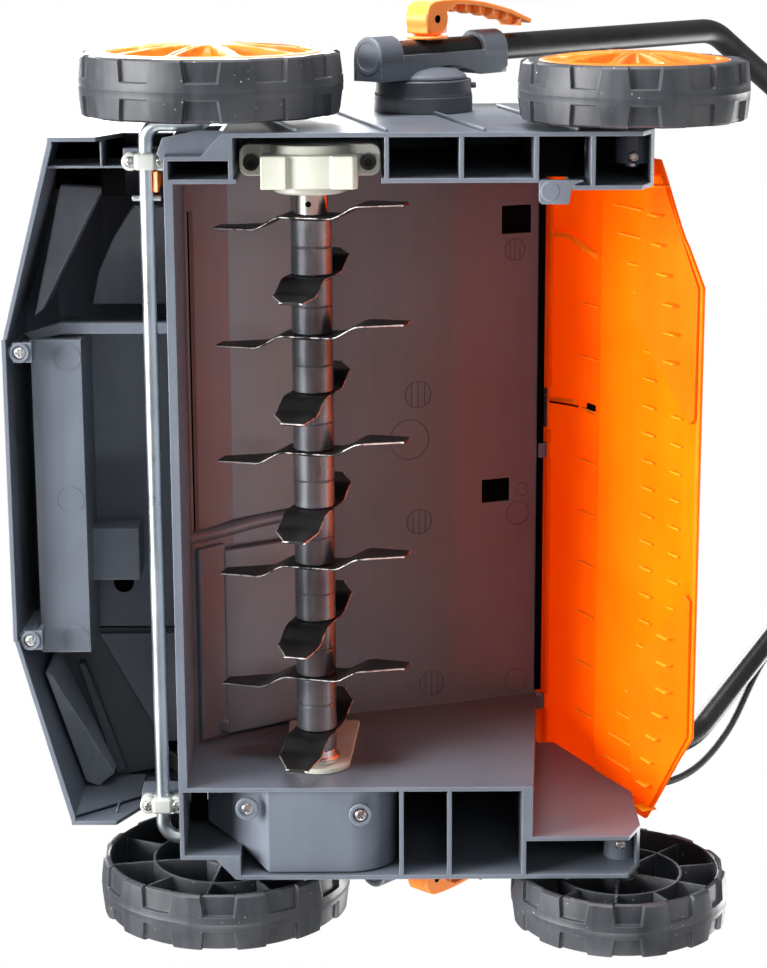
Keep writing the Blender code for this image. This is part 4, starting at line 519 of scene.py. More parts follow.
# The first two take their colours from the settings
FINISHES = {
    "deck_plastic": finish("deck_plastic", None, None, (0.34, 0.48),
                           6e-5, 700, (0.30, 0.33, 0.38), 0.55, 0.12),
    "orange_plastic": finish("orange_plastic", None, None, (0.30, 0.42),
                             5e-5, 650, (1.0, 0.42, 0.06), 0.5, 0.0),
    "tyre_plastic": finish("wheel_plastic", (0.016, 0.018, 0.0215), (0.038, 0.042, 0.049), (0.30, 0.50),
                           8e-5, 800, (0.16, 0.16, 0.165), 0.4, 0.9),
    "nylon": finish("nylon", (0.40, 0.405, 0.345), (0.49, 0.495, 0.425), (0.35, 0.5),
                    4e-5, 500, (0.82, 0.82, 0.74), 0.4, 0.0),
    "clamp_nylon": finish("nylon", (0.33, 0.34, 0.32), (0.42, 0.43, 0.40), (0.38, 0.52),
                          4e-5, 500, (0.62, 0.63, 0.60), 0.4, 0.05),
    "black_plastic": finish("black_plastic", (0.014, 0.014, 0.016), (0.026, 0.026, 0.028), (0.34, 0.48),
                            5e-5, 800, (0.08, 0.08, 0.085), 0.4, 0.1),
    "zinc": finish("zinc", (0.53, 0.585, 0.61), (0.71, 0.765, 0.79), (0.24, 0.38),
                   2e-5, 420, (0.86, 0.88, 0.9), 0.4, 0.1, metallic=1.0),
    "bright_steel": finish("zinc", (0.70, 0.69, 0.67), (0.84, 0.83, 0.81), (0.16, 0.27),
                           1e-5, 300, (0.95, 0.95, 0.95), 0.3, 0.0, metallic=1.0),
    "black_steel": finish("black_steel", (0.010, 0.010, 0.011), (0.040, 0.041, 0.044), (0.20, 0.36),
                          4e-5, 350, (0.42, 0.42, 0.43), 0.25, 0.35, metallic=0.65),
    "blade_steel": finish("black_steel", (0.0030, 0.0030, 0.0032), (0.0075, 0.0073, 0.0076), (0.30, 0.44),
                          3e-5, 400, (0.05, 0.05, 0.05), 0.2, 0.12, metallic=0.3, ground=(0.86, 0.85, 0.83)),
    "spacer_steel": finish("black_steel", (0.085, 0.090, 0.102), (0.230, 0.240, 0.265), (0.19, 0.32),
                           3e-5, 350, (0.30, 0.30, 0.31), 0.5, 0.45, metallic=0.8),
    "flap_plastic": finish("orange_plastic", (1.0, 0.200, 0.0), (1.0, 0.245, 0.0), (0.38, 0.50),
                           3e-5, 500, (1.0, 0.40, 0.01), 0.6, 0.0, specular=0.12, through=0.5),
    "lever_plastic": finish("orange_plastic", (0.92, 0.245, 0.036), (0.98, 0.295, 0.055), (0.30, 0.42),
                            5e-5, 650, (1.0, 0.55, 0.16), 0.5, 0.0),
    # A deeper orange on the flap's tilted facets: painted shade
    "flap_facet_painted_shade": finish("orange_plastic", (1.0, 0.170, 0.0), (1.0, 0.205, 0.0), (0.38, 0.50),
                         3e-5, 500, (1.0, 0.36, 0.01), 0.6, 0.0, specular=0.12, through=0.45),
    # A lighter orange with strongly lightened edges on the fins and ribs: painted highlight
    "flap_fin_painted_highlight": finish("orange_plastic", (1.0, 0.340, 0.004), (1.0, 0.420, 0.012), (0.34, 0.46),
                       3e-5, 500, (1.0, 0.62, 0.12), 0.9, 0.0, specular=0.25, through=0.5),
    # A darker copy of the deck plastic for surfaces that stand in shade: painted shade
    "painted_shade_plastic": finish("deck_plastic", (0.034, 0.039, 0.048), (0.054, 0.060, 0.072), (0.40, 0.55),
                             6e-5, 700, (0.16, 0.18, 0.21), 0.5, 0.10),
    "tube_paint": finish("tube_paint", (0.0075, 0.0075, 0.008), (0.012, 0.012, 0.013), (0.26, 0.36),
                         2e-5, 260, (0.03, 0.03, 0.03), 0.3, 0.05, specular=0.35),
    "rubber": finish("rubber", (0.012, 0.012, 0.013), (0.022, 0.022, 0.023), (0.48, 0.62),
                     5e-5, 900, (0.05, 0.05, 0.05), 0.3, 0.1),
    "foam": finish("foam", (0.020, 0.020, 0.021), (0.038, 0.038, 0.039), (0.80, 0.95),
                   3.5e-4, 1100, (0.05, 0.05, 0.05), 0.2, 0.1),
    "motor_steel": finish("motor_metal", (0.26, 0.27, 0.28), (0.38, 0.39, 0.40), (0.30, 0.42),
                          3e-5, 300, (0.6, 0.6, 0.62), 0.3, 0.1, metallic=0.9),
    # A lighter copy of the deck plastic, with dust, for the hood's folds that catch the light: painted light
    "painted_light_plastic": finish("deck_plastic", (0.135, 0.152, 0.182), (0.215, 0.236, 0.272), (0.42, 0.60),
                              8e-5, 600, (0.34, 0.36, 0.40), 0.5, 0.25),
    # Matt black where only shade would be seen, in openings, gaps, slits and pockets: painted shade
    "painted_shade_black": finish("black_plastic", (0.002, 0.002, 0.002), (0.004, 0.004, 0.004), (0.8, 0.9),
                         2e-5, 300, (0.004, 0.004, 0.004), 0.1, 0.0, specular=0.0),
}
DUST_COLOUR = (0.55, 0.55, 0.53)


def mixed(tree, factor, a, b):
    """One colour over another by a mask; a and b are colours or sockets."""
    made = node(tree, "ShaderNodeMix", data_type="RGBA")
    tree.links.new(factor, made.inputs["Factor"])
    for name, value in (("A", a), ("B", b)):
        feed(tree, next(s for s in made.inputs if s.name == name and s.type == "RGBA"), value)
    return next(s for s in made.outputs if s.type == "RGBA")


def two_shaders(tree, factor, first, second):
    """Gives the material's output a mix of two shaders."""
    both = node(tree, "ShaderNodeMixShader")
    for index, value in enumerate((factor, first, second)):
        feed(tree, both.inputs[index], value)
    tree.links.new(both.outputs["Shader"], tree.nodes["Material Output"].inputs["Surface"])


def new_material(name):
    material = bpy.data.materials.new(name)
    material.use_nodes = True
    return material, material.node_tree, material.node_tree.nodes["Principled BSDF"]


def make_finish(name, groups, colours, rough, bump, grain, edge, wear, dust, slot, metallic=0.0,
                ground=None, specular=0.5, through=0.0):
    """A material: the mottle mixes its colours, worn edges lighten it (on the flap's fins a painted highlight)
    and dust lies on top.
    """
    material, tree, shader = new_material(name)
    used = {kind: node(tree, "ShaderNodeGroup", node_tree=group).outputs for kind, group in groups.items()
            if {"specks": dust, "ground": ground}.get(kind, True)}
    skin, rim = used["moulding"], used["edges"]
    skin["Mottle"].node.inputs["Grain Scale"].default_value = float(grain)
    colour = mixed(tree, skin["Mottle"], *colours)
    colour = mixed(tree, math_node(tree, "MULTIPLY", rim["Mask"], wear), colour, edge)
    if dust:
        colour = mixed(tree, math_node(tree, "MULTIPLY", used["specks"]["Mask"], dust), colour, DUST_COLOUR)
    feed(tree, shader.inputs["Metallic"], metallic)
    if ground:
        bare = used["ground"]["Mask"]
        colour = mixed(tree, bare, colour, ground)
        feed(tree, shader.inputs["Metallic"], math_node(tree, "ADD", bare, metallic, clamp=True))
    relief = node(tree, "ShaderNodeBump")
    for target, value in ((relief.inputs["Distance"], bump), (relief.inputs["Strength"], 0.8),
                          (relief.inputs["Height"], skin["Height"]), (relief.inputs["Normal"], rim["Normal"]),
                          (shader.inputs["Normal"], relief.outputs["Normal"]),
                          (shader.inputs["Base Color"], colour),
                          (shader.inputs["Roughness"], span(tree, skin["Mottle"], 0.0, 1.0, *rough)),
                          (shader.inputs["Specular IOR Level"], specular)):
        feed(tree, target, value)
    if through:
        behind = node(tree, "ShaderNodeBsdfTranslucent")
        tree.links.new(colour, behind.inputs["Color"])
        two_shaders(tree, through, shader.outputs["BSDF"], behind.outputs["BSDF"])
    return material


MADE = {}


def finishes():
    """The materials by name, made once."""
    if not MADE:
        groups = {"moulding": moulding_group(), "edges": edge_group(), "specks": specks_group(),
                  "ground": ground_group()}
        looks = bpy.context.scene.aerator_looks
        for name, values in FINISHES.items():
            values = dict(values)
            colour = {"deck_plastic": looks.deck_colour, "orange_plastic": looks.orange_colour}.get(name)
            if colour:
                low, high = tuple(0.9 * c for c in colour), tuple(min(1.0, 1.1 * c) for c in colour)
                values["colours"] = (low, high)
            MADE[name] = make_finish(name, groups, **values)
    return MADE


def finish_for_node(name, record):
    """The finish of a CAD node that stays: the one whose slot is the node's slot."""
    slot = {part["node"]: part["material_slot"] for part in record["subparts"]}[name]
    return {"wheel_plastic": "tyre_plastic", "motor_metal": "motor_steel"}.get(slot, slot)


class AERATOR_OT_finishes(bpy.types.Operator):
    """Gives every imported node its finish"""
    bl_idname = "aerator.finishes"
    bl_label = "Finishes"

    def execute(self, context):
        for name, thing in frame["nodes"].items():
            thing.data.materials.clear()
            thing.data.materials.append(finishes()[finish_for_node(name, frame["record"])])
        return {"FINISHED"}


# Wheels: their place along X, width, radius and axle's place

WHEELS = {"front": (0.267, 0.041, 0.091, (ROD[0] + CRANK[0], ROD[1] + CRANK[1])),
          "rear": (0.265, 0.039, 0.0775, REAR_WHEEL)}
LUGS = 12
NOTCH_DEPTH = 0.0030
NOTCH_EDGE = radians(8.0)
NOTCH_BAND = radians(6.6)
NOTCH_WALL = radians(0.5)
WHEEL_LIP = 0.014
WHEEL_RECESS = 0.008
WHEEL_RIM = 0.007
WHEEL_CLEAR = 0.0006
RIBS = 10
SPOKES = 10


def wheel_shape(width, radius):
    """A tyre with notched lugs: rows round its section, columns that follow the notches' slanted sides.

    The radius at (x, a) is R - crown (2x/W - 1)^2, less the notch's depth between its two sides.
    """
    radius -= WHEEL_CLEAR
    band = 0.36 * width
    step = 0.0006
    half = [(width, 0.0026, 1, NOTCH_EDGE), (width - 0.0013, 0.0006, 1, NOTCH_EDGE),
            (width - band, 0, 1, NOTCH_BAND), (width - band - step, 0, 0, NOTCH_BAND),
            (width / 2 + step, 0, 0, NOTCH_BAND)]
    tread = half + [(width / 2, -0.00025, 0, NOTCH_BAND)] + [(width - x, *more) for x, *more in half[::-1]]
    rows = [(x, radius - 0.0011 * (2 * x / width - 1) ** 2 - drop, notch, half)
            for x, drop, notch, half in tread]
    web = width - WHEEL_RECESS
    rim = radius - WHEEL_RIM
    lip = radius - WHEEL_LIP
    inside = [(0, rim + 0.0008), (0.0008, rim), (web - 0.004, rim), (web - 0.004, 0.014), (0.0068, 0.014),
              (0.006, 0.0132), (0.006, 0.0053), (web, 0.0053), (web, lip), (width - 0.0006, lip),
              (width, lip + 0.0006)]
    rows += [(x, r, 0, NOTCH_BAND) for x, r in inside]
    period = 2 * pi / LUGS
    columns = [(-1, share, 0) for share in (0.67, 0.33, 0)]
    columns += [(0, share, 1) for share in (-1, -0.5, 0, 0.5, 1)]
    columns += [(1, share, 0) for share in (0, 0.33, 0.67, 1)]
    points = np.empty((len(rows), LUGS * len(columns), 3))
    for index, (x, r, notch, half) in enumerate(rows):
        outer = half + NOTCH_WALL
        turn = [way * (outer + share * (period / 2 - outer)) if way else share * half
                for way, share, d in columns]
        drop = [notch * NOTCH_DEPTH * d for way, share, d in columns]
        a = (np.array(turn)[None, :] + period * np.arange(LUGS)[:, None]).ravel()
        reach = r - np.tile(drop, LUGS)
        points[index] = np.stack([np.full(len(a), x), reach * np.cos(a), reach * np.sin(a)], axis=-1)
    return grid(points, closed_u=True, closed_v=True)


def wheel_ribs(width, radius):
    """The ring wall and the radial ribs in the wheel's open inner side."""
    web = width - WHEEL_RECESS - 0.003
    ring = 0.57 * radius
    wall = [(0.0045, ring - 0.0009), (0.0045, ring + 0.0009), (web, ring + 0.0012), (web, ring - 0.0012)]
    shapes = [lathe(wall, 96, ring=True)]
    for index in range(RIBS):
        start = 0.010 if index % 2 else ring - 0.0005
        rib = block((0.005, web), (start, radius - WHEEL_RIM + 0.001), (-0.0009, 0.0009), 0.0004, 1)
        shapes.append(shifted(rib, turned(2 * pi * (index + 0.3) / RIBS)))
    return joined(*shapes)


def cap_shape(width, radius):
    """A domed cover: x = W + crown (1 - (r/s)^2.4), sunk between spokes of even width."""
    skirt = radius - WHEEL_LIP - 0.0003
    share = np.array([0, 0.08, 0.15, 0.20, 0.24, 0.28, 0.33, 0.40, 0.48, 0.56, 0.64, 0.72, 0.79, 0.84, 0.88,
                      0.92, 0.96, 0.985, 1.0])
    a = np.linspace(0, 2 * pi, SPOKES * 28, endpoint=False)
    r = (share * skirt)[:, None]
    height = width + 0.0052 * (1 - share ** 2.4)[:, None] - 0.0006 * (share > 0.99)[:, None]
    period = 2 * pi / SPOKES
    off = (a + period / 2) % period - period / 2
    aside = np.abs(r * np.sin(off)[None, :])
    sunk = step_up(share, 0.21, 0.34)[:, None] * (1 - step_up(share, 0.82, 0.93))[:, None]
    spoke = 0.0024 + 0.0016 * share[:, None]
    window = sunk * step_up(aside, spoke, spoke + 0.0022)
    groove = sunk * (1 - step_up(aside, 0.0004, 0.0013))
    hub = 1 - step_up(share, 0.13, 0.17)
    x = height - 0.0062 * window - 0.0008 * groove + 0.0006 * hub[:, None]
    top = np.stack([x, r * np.cos(a), r * np.sin(a)], axis=-1)
    low = top[-1:].copy()
    low[..., 0] = width - WHEEL_RECESS + 0.0003
    return grid(np.concatenate([top, low]), closed_v=True)


class AERATOR_OT_wheels(bpy.types.Operator):
    """Replaces the four wheels and their caps"""
    bl_idname = "aerator.wheels"
    bl_label = "Wheels"

    def execute(self, context):
        for end, (x, width, radius, centre) in WHEELS.items():
            tyre = joined(wheel_shape(width, radius), wheel_ribs(width, radius))
            cap = cap_shape(width, radius)
            for side, label in SIDES:
                place = DECK @ moved(0, *centre) @ flipped(side) @ moved(x, 0, 0)
                body = f"{end}_wheel_{label}"
                piece(f"{end}_tyre_{label}", tyre, place, body, "tyre_plastic", [body], angle=28)
                piece(f"{end}_cover_{label}", cap, place, body, "orange_plastic", [f"{end}_cap_{label}"],
                      wall=0.0022)
        return {"FINISHED"}


# Roller

BLADE_ROWS = 79
BLADE_SIZE = dict(half=0.015, tip=0.065, cut=0.026, flat=0.020, slope=0.0153, rise=0.009)
BLADE_TURN = -107
SPACER_RADIUS = 0.014
SPACER_SLOT = 0.0013
SPACER_BORE = 0.0085
SHAFT_BORE = 0.0083
FLANGE_X = CHAMBER_RIGHT + 0.0046
SLEEVE_X = FIRST_BLADE + 0.0013


def blade_line(tip, flat, slope, rise, spread=0.0035):
    """The blade's middle line seen edge on, as (Z, X), its four bends eased by a run of averages."""
    z = np.linspace(-tip, tip, BLADE_ROWS)
    eased = np.zeros(BLADE_ROWS)
    for shift in np.linspace(-spread, spread, 9):
        x = np.interp(np.abs(z + shift), [0, flat, flat + slope, 1], [0, 0, rise, rise])
        eased += x * np.sign(z + shift)
    return z, eased / 9


def blade_shape(half, tip, cut, flat, slope, rise, wall=0.001, edge=0.0011, sharp=0.00035):
    """A blade as rings along its line, its tips cut across one corner, with ground edges."""
    z, x = blade_line(tip, flat, slope, rise)
    high = np.clip(half * (tip - z) / cut, 0.0012, half)
    low = -high[::-1]
    ys = [low, low + edge, (low * 2 + high) / 3, (low + high * 2) / 3, high - edge, high]
    xs = [sharp, wall, wall, wall, wall, sharp]
    ring = []
    for way in (1, -1):
        ring += [np.stack([x + way * across, y, z], axis=-1) for across, y in zip(xs, ys)][::way]
    return capped(np.stack(ring, axis=1))


def blade_wear():
    """How worn each point is: its ground edges, more towards the tips."""
    z = np.linspace(-1, 1, BLADE_ROWS)
    rim = np.array([1, 0, 0, 0, 0, 1] * 2)
    return (rim[None, :] * (0.68 + 0.32 * z[:, None] ** 2)).ravel()


def spacer_profile(soft=0.0007):
    """The spacers as (X, radius): rounded shoulders, a slot at each blade and a seam between each two."""
    r, slot = SPACER_RADIUS, SPACER_SLOT
    profile = [(FIRST_BLADE - slot, SPACER_BORE)]
    for index in range(BLADE_COUNT):
        x = FIRST_BLADE - index * BLADE_PITCH
        if index:
            profile += [(x + slot + soft, r), (x + slot, r - soft), (x + slot, 0.0096)]
        profile += [(x - slot, 0.0096), (x - slot, r - soft), (x - slot - soft, r)]
        if index < BLADE_COUNT - 1:
            seam = x - BLADE_PITCH / 2
            profile += [(seam + 0.0008, r), (seam, r - 0.0009), (seam - 0.0008, r)]
    return profile + [(FLANGE_X + 0.0046, r), (FLANGE_X + 0.0046, SPACER_BORE)]


# Rings of the roller as (X, radius), each from its own start
FLANGE = [(0, SPACER_BORE), (0, 0.0158), (0.0006, 0.0165), (0.0036, 0.0165), (0.0044, 0.0158),
          (0.0044, 0.0145), (0.0090, 0.0140), (0.0090, SPACER_BORE)]
SLEEVE = [(0, SHAFT_BORE), (0, 0.0110), (0.0005, 0.0115), (0.0142, 0.0115), (0.0148, 0.0109),
          (0.0148, SHAFT_BORE)]
PULLEY = [(0, SHAFT_BORE), (0, 0.014), (0.0015, 0.016), (0.0015, 0.031), (0, 0.032), (0, 0.0355),
          (0.0005, 0.036), (0.0155, 0.036), (0.0160, 0.0355), (0.0160, SHAFT_BORE)]
PULLEY_X = -0.236


class AERATOR_OT_roller(bpy.types.Operator):
    """Replaces the roller's blades, spacers, sleeve, shaft and pulley"""
    bl_idname = "aerator.roller"
    bl_label = "Roller"

    def execute(self, context):
        blade, wear = blade_shape(**BLADE_SIZE), blade_wear()
        for index in range(BLADE_COUNT):
            name = f"blade_{index + 1:02d}"
            turn = radians(BLADE_TURN + 90 * (index % 2))
            place = DRUM @ moved(FIRST_BLADE - index * BLADE_PITCH, 0, 0) @ turned(turn)
            piece(name + "_forged", blade, place, "roller", "blade_steel", [name], worn=wear, angle=24)
        piece("spacers", lathe(spacer_profile(), 64), DRUM, "roller", "spacer_steel", ["spacer_stack"],
              angle=24)
        for name, profile, x, sides, finish_name, stands_for in (
                ("end_flange", FLANGE, FLANGE_X, 64, "bright_steel", ()),
                ("sleeve", SLEEVE, SLEEVE_X, 64, "bright_steel", ["end_sleeve"]),
                ("pulley", PULLEY, PULLEY_X, 72, "black_plastic", ["roller_pulley"])):
            piece(name, lathe(profile, sides, ring=True), DRUM @ moved(x, 0, 0), "roller", finish_name,
                  stands_for)
        # The sleeve's cross hole as a black rod: painted shade
        hole = pin("Z", (SLEEVE_X + 0.0078, 0), (-0.01162, 0.01162), 0.0020, 0.0001)
        piece("sleeve_hole", hole, DRUM @ turned(radians(-8)), "roller", "painted_shade_black")
        piece("shaft", shaft((-0.240, 0.2475), 0.008, 0.0008), DRUM, "roller", "black_steel",
              ["roller_shaft"])
        return {"FINISHED"}


# Screws and small fittings

def screw_shape():
    """A cross-head screw pointing down Z: a dome h = 1 - 0.75 r^3, its cross sunk along both axes."""
    share = np.linspace(0, 1, 17)
    a = np.linspace(0, 2 * pi, 64, endpoint=False)
    y, z = share[:, None] * np.cos(a), share[:, None] * np.sin(a)
    near, far = np.minimum(np.abs(y), np.abs(z)), np.maximum(np.abs(y), np.abs(z))
    cross = (1 - step_up(near, 0.09, 0.17)) * (1 - step_up(far, 0.50, 0.60))
    top = np.stack([y, z, -(1 - 0.75 * share[:, None] ** 3 - 0.75 * cross)], axis=-1)
    foot = top[-1:].copy()
    foot[..., 2] = 0
    return grid(np.concatenate([top, foot, foot * np.array([0, 0, 1.0])]), closed_v=True)


CLAMP_MIDDLE = 0.2335
CLAMP_SCREW = 0.0102
COVER_Z = 0.0433
# The rings round the screws of the cover and of the tray: radius, height and the sunk middle's radius
COVER_BOSS = (0.0082, 0.0018, 0.0052)
TRAY_BOSS = (0.0072, 0.0016, 0.0048)
# Each screw's place and radius: two in the tray, two in the cover and two at the rear axles
SCREWS = [(0.100, -0.2540, 0.1235, 0.0044), (-0.110, -0.2540, 0.1235, 0.0044),
          (-0.208, -0.096, 0.0419, 0.0042), (-0.213, -0.017, 0.0419, 0.0042),
          (0.2405, 0.167, 0.0668, 0.0040), (-0.2456, 0.167, 0.0668, 0.0040)]


def ring_boss(x, y, z, radius, height, hole):
    """A low round boss with a sunk middle, pointing down Z."""
    profile = [(0, hole), (-height + 0.0004, hole), (-height, hole + 0.0004), (-height, radius - 0.0006),
               (-height + 0.0006, radius), (0, radius)]
    return shifted(along("Z", lathe(profile, 40, ring=True)), moved(x, y, z))


def bearing_shape():
    """The moulded bearing: rounded ears, a body with cut corners, a stepped middle and a round boss below."""
    ears = prism(rounded_box((0.2287, 0.2498), (-0.0950, -0.0010), 0.0065), (0.0700, 0.1177), "Z")
    middle_arc = arc((ROLLER[0], 0.1150), 0.0668, 282.4, 257.6, 10)[::-1]
    outline = [(-0.0800, 0.1177), (-0.0800, 0.0460), (-0.0630, 0.0460), *middle_arc, (-0.0330, 0.0460),
               (-0.0190, 0.0460), (-0.0160, 0.0490), (-0.0160, 0.1177)]
    boss = [(0.2162, 0), (0.2162, 0.0238), (0.2174, 0.0250), (0.2230, 0.0250), (0.2230, 0)]
    disc = [(0.2435, 0), (0.2435, 0.0320), (0.2490, 0.0320), (0.2496, 0.0314), (0.2496, 0)]
    rounds = [shifted(lathe(profile, 64), moved(0, *ROLLER)) for profile in (boss, disc)]
    return joined(ears, prism(outline, (0.2222, 0.2440))), joined(*rounds)


TURRET_RADIUS = 0.035
SEAM_POINTS = 193
# Raised strips on the deck's sides, as Y at the rim and the strip's height
STRIPS = [(0.067, 0.185), (0.003, 0.200), (-0.056, 0.190), (0.128, 0.225)]
STRIP_LEAN = 0.24
STRIP_HALF = 0.0012


def turret_shape():
    """A round pivot on the deck's side: two tiers with a fine zigzag seam between them and a stop."""
    r = TURRET_RADIUS
    drum = lathe([(0.2603, 0), (0.2603, r), (0.2712, r), (0.2714, r - 0.0008), (0.2820, r - 0.0008),
                  (0.2828, r - 0.0016), (0.2828, 0)], 96)
    a = np.linspace(0, 2 * pi, SEAM_POINTS)
    x = 0.2722 + 0.0010 * (2 * (np.arange(SEAM_POINTS) % 2) - 1)
    line = np.stack([x, (r - 0.0007) * np.cos(a), (r - 0.0007) * np.sin(a)], axis=-1)
    stop = block((0.2762, 0.2800), (r - 0.0015, r + 0.0026), (-0.003, 0.003), 0.0008, 1)
    return joined(drum, tube(line, 0.0003, (1, 0, 0), 6), stop)


def cover_shape():
    """The belt's cover as a sheet: a sloping front end, a flat with its screws and a round rear end."""
    round_end = arc((-0.0244, 0.0767), 0.0334, -90, 0, 10)
    line = np.array([(-0.1268, 0.0870), (-0.1040, 0.0649), (-0.0815, COVER_Z), (-0.0520, COVER_Z),
                     *round_end])
    outer = np.interp(line[:, 0], [-0.1268, -0.1000, -0.0815, 0.01], [-0.2340, -0.2440, -0.2560, -0.2560])
    share = np.linspace(0, 1, 5)
    x = -0.1955 * (1 - share) + outer[:, None] * share
    y, z = [np.broadcast_to(line[:, index:index + 1], x.shape) for index in (0, 1)]
    return thick(np.stack([x, y, z], axis=-1), 0.0028)


def carrier_shape():
    """The plate that carries the roller's far end: round below and wider above."""
    low = arc((ROLLER[0] + 0.0015, ROLLER[1]), 0.0225, 195, 345, 20)
    return prism([*low, (-0.0185, 0.1700), (-0.0205, 0.1718), (-0.0690, 0.1718), (-0.0710, 0.1700)],
                 (-0.1917, -0.1878))


def side_strips():
    """Upright strips on a side of the deck that lean back towards their tops."""
    strips = []
    for y, top in STRIPS:
        lean = STRIP_LEAN * (top - RIM_Z)
        outline = [(y - lean - STRIP_HALF, top), (y - lean + STRIP_HALF, top),
                   (y + STRIP_HALF, RIM_Z + 0.004), (y - STRIP_HALF, RIM_Z + 0.004)]
        strips.append(prism(outline, (DECK_HALF_WIDTH + 0.0002, DECK_HALF_WIDTH + 0.0026)))
    return joined(*strips)


# The latch tab's outline (X, Y), and black blocks as painted shadow before the belt and in the left rear arm
LATCH_TAB = [(0.2285, 0.1028), (0.2145, 0.1028), (0.2127, 0.1046), (0.2127, 0.1225)]
BELT_SHADOW = ((-0.2345, -0.1985), (-0.1385, -0.1268), (0.088, 0.090))
ARM_SHADOW = ((0.2256, 0.2565), (0.1030, 0.1360), (0.085, 0.090))
# The roof's two square covers as their spans along X and Y
ROOF_COVERS = [((0.166, 0.187), (0.088, 0.110)), ((-0.037, -0.019), (0.074, 0.095))]


def roof_cover(x, y, heights, radius):
    """A flat block over a span of the chamber's roof, between two heights over it."""
    at = (y[0] + y[1]) / 2
    slope = atan2(CEILING[-1][1] - CEILING[-2][1], CEILING[-1][0] - CEILING[-2][0])
    place = moved((x[0] + x[1]) / 2, at, np.interp(at, *np.array(CEILING).T)) @ turned(slope)
    half_x, half_y = (x[1] - x[0]) / 2 + 0.003, (y[1] - y[0]) / 2 + 0.004
    return shifted(block((-half_x, half_x), (-half_y, half_y), heights, radius), place)


class AERATOR_OT_fittings(bpy.types.Operator):
    """Adds the screws, bosses, covers and side strips, and replaces the bearings, turrets and belt cover"""
    bl_idname = "aerator.fittings"
    bl_label = "Screws and bosses"

    def execute(self, context):
        heads = [DECK @ moved(x, y, z) @ turned(index * 1.3, 2) @ np.diag([radius, radius, radius * 0.55, 1])
                 for index, (x, y, z, radius) in enumerate(SCREWS)]
        piece("screws", shifted(screw_shape(), *heads), np.eye(4), "chassis", "bright_steel")
        bosses = [ring_boss(x, y, COVER_Z, *COVER_BOSS) for x, y, z, radius in SCREWS[2:4]]
        on_deck("cover_bosses", joined(*bosses))
        tab = prism([*LATCH_TAB, *arc((0.2190, 0.1317), 0.0082, -90, 0, 10), (0.2285, 0.1317)],
                    (0.0402, 0.0455), "Z")
        disc = pin("Z", (0.2212, 0.1100), (0.0398, 0.0450), 0.0062, 0.0004, 48)
        on_deck("latch_tab", joined(tab, disc), bevel=0.0006)
        on_deck("belt_housing", cover_shape(), "deck_plastic", ["belt_cover"], bevel=0.0010, angle=24)
        # A black block before the belt: painted shadow
        on_deck("belt_shadow", block(*BELT_SHADOW, 0.0004), "painted_shade_black")
        on_deck("carrier_plate", carrier_shape(), "nylon", ["bearing_carrier"], bevel=0.0006)
        sharp, rounds = bearing_shape()
        on_deck("bearing", sharp, "nylon", ["bearing_block"], bevel=0.0009)
        on_deck("bearing_rounds", rounds, "nylon")
        for side, label in SIDES:
            place = DECK @ moved(0, *TURRET) @ flipped(side)
            # The pivots in the darker copy of the deck plastic: painted shade
            piece("pivot_" + label, turret_shape(), place, "chassis", "painted_shade_plastic", ["turret_" + label])
            piece("side_strips_" + label, side_strips(), DECK @ flipped(side), "chassis", "deck_plastic",
                  bevel=0.0006)
        on_deck("roof_covers", joined(*[roof_cover(x, y, (0.0036, 0.0090), 0.0015) for x, y in ROOF_COVERS]))
        # Thin black plates at the roof covers' pockets and in the left rear arm: painted shade
        shades = [roof_cover(x, y, (0.0031, 0.0037), 0.0002) for x, y in ROOF_COVERS]
        shades.append(block(*ARM_SHADOW, 0.0004))
        on_deck("painted_shade_plates", joined(*shades), "painted_shade_black")
        return {"FINISHED"}


# Hood, tray and chamber, seen from below

def raised(corners, top):
    """A solid with upright sides from a slanting face, given by its corners (x, y, z), up to a height."""
    low = np.array(corners, float)
    high = low.copy()
    high[:, 2] = top
    return capped(np.stack([low, high]))


def mark(x, y, z, radius, slope=0.0, bars=0, line=0.0003, depth=0.0006):
    """A pusher's mark: a fine ring on a face that looks down, with bars across it."""
    ring = [(-line, radius - line), (-line, radius + line), (depth, radius + line), (depth, radius - line)]
    shapes = [along("Z", lathe(ring, 48, ring=True))]
    for index in range(bars):
        aside = (index - (bars - 1) / 2) * radius * 0.5
        half = (radius ** 2 - aside ** 2) ** 0.5 - line
        shapes.append(block((-half, half), (aside - line, aside + line), (-line, depth), 0.0001, 1))
    return shifted(joined(*shapes), moved(x, y, z) @ turned(slope))


def on_ceiling(y):
    """The chamber roof's height and slope at Y."""
    line = np.array(CEILING)
    index = int(np.clip(np.searchsorted(line[:, 0], y) - 1, 0, len(line) - 2))
    (y0, z0), (y1, z1) = line[index], line[index + 1]
    return z0 + (z1 - z0) * (y - y0) / (y1 - y0), atan2(z1 - z0, y1 - y0)


# Folds of the hood, each as its lower face's corners and its top
HOOD_FLUTES = [([(0.2098, -0.2296, 0.185), (0.2078, -0.1994, 0.185), (0.1798, -0.2138, 0.175),
                 (0.1255, -0.2404, 0.155), (0.1204, -0.2469, 0.153)], 0.215),
               ([(-0.1440, -0.2493, 0.155), (-0.1471, -0.2442, 0.1567), (-0.2341, -0.2038, 0.185),
                 (-0.2445, -0.2161, 0.185), (-0.2395, -0.2252, 0.182)], 0.211),
               ([(-0.1513, -0.2303, 0.198), (-0.1512, -0.2250, 0.198), (-0.2371, -0.1963, 0.202),
                 (-0.2404, -0.2040, 0.202)], 0.211)]
